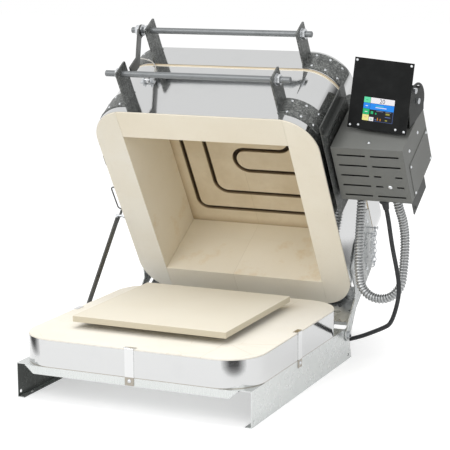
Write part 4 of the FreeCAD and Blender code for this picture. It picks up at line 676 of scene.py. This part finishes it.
def conduit(material):
    """Wound metal conduit: a helical ridge round a smooth route."""
    start = shell_spot(*CONDUIT_EXIT)
    last = shell_spot(*CONDUIT_END)
    points = [start, start + shell_way(0, 16 * MM, 0)] + metres(CONDUIT_LOOP)
    points += [last - shell_way(0, 0, 22 * MM), last]
    line = route_line("conduit_route", points)

    def radius(distance, angle):
        phase = 2 * math.pi * distance / (CONDUIT_RIB * MM) - angle
        return (CONDUIT_D / 2 - CONDUIT_RIDGE * (0.5 - 0.5 * math.cos(phase)) ** 1.5) * MM

    piece = swept("ribbed_conduit", line, CONDUIT_RIB * MM / 8, 24, radius, material)
    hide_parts("conduit")
    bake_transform(piece)


def coil_points():
    """The put-away turns: two lying on the floor and two on top of them."""
    spots = []
    cx, cy = COIL_AT
    for k in range(len(COIL_TURNS) * POINTS_PER_TURN):
        turn = k / POINTS_PER_TURN
        this = COIL_TURNS[int(turn)]
        after = COIL_TURNS[min(int(turn) + 1, len(COIL_TURNS) - 1)]
        share = max(0.0, (turn % 1 - 0.72) / 0.28)
        z = this[0] + (after[0] - this[0]) * share
        radius = this[1] + (after[1] - this[1]) * share
        angle = math.radians(-90) - 2 * math.pi * turn
        spots.append((cx + radius * math.cos(angle), cy + radius * math.sin(angle), z))
    return spots


def power_cord(material):
    """The mains lead from the gland over the floor to its coil and plug."""
    start = shell_spot(*GLAND_END)
    points = [start, start + shell_way(0, 27 * MM, 0)] + metres(CORD_UPPER + CORD_LOWER)
    points += metres(coil_points() + COIL_LEAVE)
    line = route_line("cord_route", points, 16)
    piece = swept("power_cord", line, 2.5 * MM, 16, lambda distance, angle: CORD_D / 2 * MM, material)
    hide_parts("power_cord_upper", "power_cord_lower", "cord_coil")
    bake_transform(piece)


def rounded_line(nodes, step):
    """Points along straight runs and corner arcs, in the plane of the roof."""
    line = [Vector(nodes[0][:2])]
    for (ax, ay, _), (x, y, radius), (bx, by, _) in zip(nodes, nodes[1:], nodes[2:]):
        corner = Vector((x, y))
        come = (corner - Vector((ax, ay))).normalized()
        leave = (Vector((bx, by)) - corner).normalized()
        turn = math.acos(max(-1.0, min(1.0, come.dot(leave))))
        reach = radius * math.tan(turn / 2)
        centre = corner - come * reach + (leave - come * come.dot(leave)).normalized() * radius
        first = corner - come * reach - centre
        count = max(2, round(radius * turn / step))
        sign = 1 if come.x * leave.y - come.y * leave.x > 0 else -1
        for k in range(count + 1):
            line.append(centre + Matrix.Rotation(sign * turn * k / count, 2) @ first)
    line.append(Vector(nodes[-1][:2]))
    return [shell_spot(p.x, p.y, ELEMENT_DEPTH) for p in line]


def heating_coil(material):
    """The wound wire lying in the roof's groove."""
    spots = stations(rounded_line(ELEMENT, 2.0), ELEMENT_PITCH * MM / 10)
    reach = (ELEMENT_COIL - ELEMENT_WIRE) / 2 * MM
    up = shell_way(0, 0, 1)
    line = []
    for index, (spot, distance) in enumerate(spots[:-1]):
        way = (spots[index + 1][0] - spot).normalized()
        side = up.cross(way).normalized()
        angle = 2 * math.pi * distance / (ELEMENT_PITCH * MM)
        line.append(spot + (side * math.cos(angle) + up * math.sin(angle)) * reach)
    piece = swept("heating_coil", line, length_of(line) / len(line), 5,
                  lambda distance, angle: ELEMENT_WIRE / 2 * MM, material)
    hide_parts("heating_element")
    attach(piece, "lid")


def seam_wire(material):
    """Bare wire over the seam between ring and lid, beside the left plates."""
    line = route_line("seam_route", [shell_spot(*spot) for spot in SEAM_WIRE], 12)
    piece = swept("seam_wire", line, 1.5 * MM, 10, lambda distance, angle: SEAM_WIRE_D / 2 * MM, material)
    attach(piece, "lid")


def screen_picture():
    """The display: tiles and marks lying on the glass, and a number in the header."""
    glows = {name: lit("glow_" + name, colour) for name, colour in GLOWS.items()}
    names = list(glows)
    mesh = bpy.data.meshes.new("screen_tiles")
    vertices = []
    faces = []
    inks = []
    for level, patches in enumerate((TILES, MARKS)):
        lift = (0.04 + 0.04 * level) * MM
        for left, right, low, high, colour in patches:
            start = len(vertices)
            for x, y in ((left, low), (right, low), (right, high), (left, high)):
                vertices.append((SCREEN_W * x * MM, SCREEN_H * y * MM, lift))
            faces.append((start, start + 1, start + 2, start + 3))
            inks.append(names.index(colour))
    mesh.from_pydata(vertices, [], faces)
    for name in names:
        mesh.materials.append(glows[name])
    mesh.polygons.foreach_set("material_index", inks)
    tiles = bpy.data.objects.new("screen_tiles", mesh)
    bpy.context.scene.collection.objects.link(tiles)
    tiles.matrix_world = face_place(SCREEN_LEFT, SCREEN_UP, -SCREEN_SUNK)
    text = bpy.data.curves.new("header", "FONT")
    text.body = HEADER_NUMBER
    text.size = HEADER_SIZE * MM
    text.align_x = "CENTER"
    holder = bpy.data.objects.new("header", text)
    bpy.context.scene.collection.objects.link(holder)
    bpy.context.view_layer.update()
    shape = bpy.data.meshes.new_from_object(holder)
    bpy.data.objects.remove(holder)
    bpy.data.curves.remove(text)
    shape.materials.clear()
    shape.materials.append(glows["ink"])
    number = bpy.data.objects.new("header_number", shape)
    bpy.context.scene.collection.objects.link(number)
    number.matrix_world = face_place(SCREEN_LEFT + SCREEN_W * HEADER_AT[0],
                                     SCREEN_UP + SCREEN_H * HEADER_AT[1], -SCREEN_SUNK + 0.1)
    for piece in (tiles, number):
        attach(piece, "controller")


def soften(node, width, angle=32.0):
    """Weld a solid's facets, round its edges a little and even its shading."""
    weld = node.modifiers.new("weld", "WELD")
    weld.merge_threshold = WELD_GAP
    if width:
        bevel = node.modifiers.new("edge", "BEVEL")
        bevel.width = width * MM
        bevel.segments = 2
        bevel.limit_method = "ANGLE"
        bevel.angle_limit = math.radians(angle)
        even = node.modifiers.new("even", "WEIGHTED_NORMAL")
        even.weight = 100
        even.keep_sharp = False
    else:
        split = node.modifiers.new("split", "EDGE_SPLIT")
        split.split_angle = math.radians(angle)
    node.data.polygons.foreach_set("use_smooth", [True] * len(node.data.polygons))


def dress(nodes, material, names, round_edge=0.0):
    """Give a material to solids by name, and soften their edges."""
    for name in names.split():
        node = nodes[name]
        node.data.materials.clear()
        node.data.materials.append(material)
        soften(node, round_edge)


# Light, floor and camera

def behind_rays(tree):
    """One where a camera, glossy or transmission ray looks, and nought for light."""
    path = tree.nodes.new("ShaderNodeLightPath")
    total = path.outputs["Is Camera Ray"]
    for name in ("Is Glossy Ray", "Is Transmission Ray"):
        node = tree.nodes.new("ShaderNodeMath")
        node.operation = "MAXIMUM"
        tree.links.new(total, node.inputs[0])
        tree.links.new(path.outputs[name], node.inputs[1])
        total = node.outputs[0]
    return total


def studio():
    """Pale floor, white surroundings and large soft lamps at a plain level."""
    world = bpy.data.worlds.new("studio")
    bpy.context.scene.world = world
    world.use_nodes = True
    tree = world.node_tree
    shade = tree.nodes["Background"]
    shade.inputs["Color"].default_value = (1, 1, 1, 1)
    shade.inputs["Strength"].default_value = WORLD_LEVEL
    seen = tree.nodes.new("ShaderNodeBackground")
    seen.inputs["Color"].default_value = (1, 1, 1, 1)
    mix = tree.nodes.new("ShaderNodeMixShader")
    tree.links.new(behind_rays(tree), mix.inputs["Fac"])
    tree.links.new(shade.outputs[0], mix.inputs[1])
    tree.links.new(seen.outputs[0], mix.inputs[2])
    tree.links.new(mix.outputs[0], tree.nodes["World Output"].inputs["Surface"])
    for name, at, size, power in LAMPS:
        lamp = bpy.data.lights.new(name, "AREA")
        lamp.size = size
        lamp.energy = power
        holder = bpy.data.objects.new(name, lamp)
        holder.location = at
        holder.rotation_euler = (Vector(LAMP_AIM) - Vector(at)).to_track_quat("-Z", "Y").to_euler()
        holder.visible_glossy = name != "top"
        bpy.context.scene.collection.objects.link(holder)
    floor = mesh_piece("floor", flat_outline(FLOOR_HALF, FLOOR_HALF), [(0, 1, 2, 3)], floor_material(),
                       smooth=False)
    for flag in FLAGS:
        dark_flag(*flag)


def dark_flag(name, middle, across, along, shade):
    """A dark studio flag facing the object: polished metal reflects it, and no light is kept off."""
    paint = Paint(name, (0, 0, 0), 1.0, Specular_IOR_Level=0.0)
    half = Vector((across, along)) / 2
    x, y, _ = paint.axes()
    edge = paint.math("MAXIMUM", paint.math("DIVIDE", paint.math("ABSOLUTE", x), half.x),
                      paint.math("DIVIDE", paint.math("ABSOLUTE", y), half.y))
    paint.shader.inputs["Emission Color"].default_value = (1, 1, 1, 1)
    paint.tree.links.new(paint.span(edge, 0.35, 1.0, shade, 1.0), paint.shader.inputs["Emission Strength"])
    flag = mesh_piece(name, flat_outline(half.x, half.y), [(0, 1, 2, 3)], paint.material, smooth=False)
    flag.location = middle
    way = Vector(FLAG_AIM) - Vector(middle)
    if middle[2] < 0.1:
        turn = Matrix.Rotation(math.atan2(way.y, way.x), 3, "Z")
    else:
        turn = way.to_track_quat("Z", "Y").to_matrix()
    flag.rotation_euler = turn.to_euler()
    for ray in ("camera", "diffuse", "transmission", "volume_scatter", "shadow"):
        setattr(flag, "visible_" + ray, False)


def floor_material():
    """White floor that keeps the object's soft shadow."""
    material = bpy.data.materials.new("floor")
    material.use_nodes = True
    tree = material.node_tree
    tree.nodes.remove(tree.nodes["Principled BSDF"])
    diffuse = tree.nodes.new("ShaderNodeBsdfDiffuse")
    diffuse.inputs["Color"].default_value = (FLOOR_GREY, FLOOR_GREY, FLOOR_GREY, 1)
    glow = tree.nodes.new("ShaderNodeEmission")
    glow.inputs["Color"].default_value = (1, 1, 1, 1)
    level = tree.nodes.new("ShaderNodeMath")
    level.operation = "MULTIPLY"
    level.inputs[1].default_value = FLOOR_GLOW
    tree.links.new(behind_rays(tree), level.inputs[0])
    lift = tree.nodes.new("ShaderNodeMath")
    lift.operation = "MULTIPLY_ADD"
    lift.inputs[1].default_value = FLOOR_LIFT
    tree.links.new(tree.nodes.new("ShaderNodeLightPath").outputs["Is Camera Ray"], lift.inputs[0])
    tree.links.new(level.outputs[0], lift.inputs[2])
    tree.links.new(lift.outputs[0], glow.inputs["Strength"])
    both = tree.nodes.new("ShaderNodeAddShader")
    tree.links.new(diffuse.outputs[0], both.inputs[0])
    tree.links.new(glow.outputs[0], both.inputs[1])
    tree.links.new(both.outputs[0], tree.nodes["Material Output"].inputs["Surface"])
    return material


def photo_camera():
    """The camera at the photograph's place."""
    data = bpy.data.cameras.new("camera")
    data.sensor_width = 36.0
    data.lens = FOCAL_PX / FRAME_PX * data.sensor_width
    data.shift_x = (FRAME_PX / 2 - CENTRE_PX[0]) / FRAME_PX
    data.shift_y = (CENTRE_PX[1] - FRAME_PX / 2) / FRAME_PX
    data.clip_end = 50.0
    camera = bpy.data.objects.new("camera", data)
    turn = math.radians(CAMERA_TURN)
    drop = math.radians(CAMERA_DROP)
    ahead = Vector((-math.sin(turn) * math.cos(drop), math.cos(turn) * math.cos(drop), -math.sin(drop)))
    base = ahead.to_track_quat("-Z", "Y").to_matrix()
    roll = Matrix.Rotation(math.radians(CAMERA_ROLL), 3, "Z")
    camera.matrix_world = Matrix.Translation(CAMERA_AT) @ (base @ roll).to_4x4()
    bpy.context.scene.collection.objects.link(camera)
    bpy.context.scene.camera = camera


for thing in list(bpy.data.objects):
    bpy.data.objects.remove(thing)
bpy.context.scene.view_settings.view_transform = "Standard"

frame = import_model()
nodes = frame["nodes"]

photo_camera()
studio()

zinc = plated("zinc", (0.72, 0.735, 0.75), (0.46, 0.49, 0.52)).material
bare_wire = plated("bare_wire", (0.62, 0.60, 0.56), (0.45, 0.43, 0.40)).material
jacket = cord_jacket()
conduit(conduit_steel())
power_cord(jacket)
heating_coil(element_wire())
seam_wire(bare_wire)
screen_picture()

bright_clips = polished_band("clip_steel", (0.72, 0.725, 0.725), sealed=True)
galvanised = spangled("galvanised", (0.50, 0.515, 0.51), (0.62, 0.63, 0.63), (0.36, 0.375, 0.375),
                      90.0, 0.85, 0.3)
mottled = spangled("spangled_steel", (0.13, 0.135, 0.13), (0.30, 0.31, 0.30), (0.05, 0.053, 0.052))
rods = rod_paint("rod_steel", (0.19, 0.20, 0.205), (0.30, 0.31, 0.31))
bars = rod_paint("bar_steel", (0.085, 0.087, 0.083), (0.15, 0.155, 0.15))
box_grey = powder_coat("box_paint", (0.148, 0.151, 0.141), (0.22, 0.225, 0.216))
dark_paint = powder_coat("dark_paint", (0.04, 0.042, 0.04), (0.12, 0.122, 0.118))

dress(nodes, slab_brick(), "floor_slab", 1.6)
dress(nodes, ring_brick(), "ring_lower_course ring_upper_course", 0.6)
dress(nodes, roof_brick(), "roof_slab", 0.6)
dress(nodes, shelf_stone(), "kiln_shelf kiln_posts")
dress(nodes, polished_band(), "ring_band lid_band")
dress(nodes, polished_band("floor_band", sealed=True), "floor_band")
dress(nodes, bright_clips, "floor_clips", 0.3)
dress(nodes, stand_paint(), "stand_pan", 0.4)
dress(nodes, galvanised, "hinge_arms rear_cross_plate", 0.5)
dress(nodes, mottled, "ring_corner_plates lid_corner_plates", 0.5)
dress(nodes, mottled, "lid_terminal_cover lid_hinge_lower lid_hinge_upper heat_shield", 0.3)
dress(nodes, rods, "ring_handle_rod lid_handle_rod", 0.3)
dress(nodes, bars, "prop_strut side_bail keeper_strap", 0.3)
dress(nodes, zinc, "ring_rivets lid_rivets ring_rod_nuts lid_rod_nuts clip_screws hinge_bolts strut_stud"
      " strut_pin arm_screws lid_hinge_pins box_screws controller_screws tilt_screws conduit_fitting"
      " band_clamp lid_conduit_fitting element_terminals", 0.2)
dress(nodes, zinc, "safety_chain")
dress(nodes, box_grey, "box_chassis box_cover box_access_plate", 0.4)
dress(nodes, dark_paint, "box_mounts controller_bracket", 0.4)
dress(nodes, black_sheet(), "controller_plate controller_case", 0.5)
dress(nodes, display_glass(), "controller_screen", 0.1)
dress(nodes, circuit_green(), "controller_board box_electrics", 0.2)
dress(nodes, jacket, "cord_gland cord_plug", 0.4)
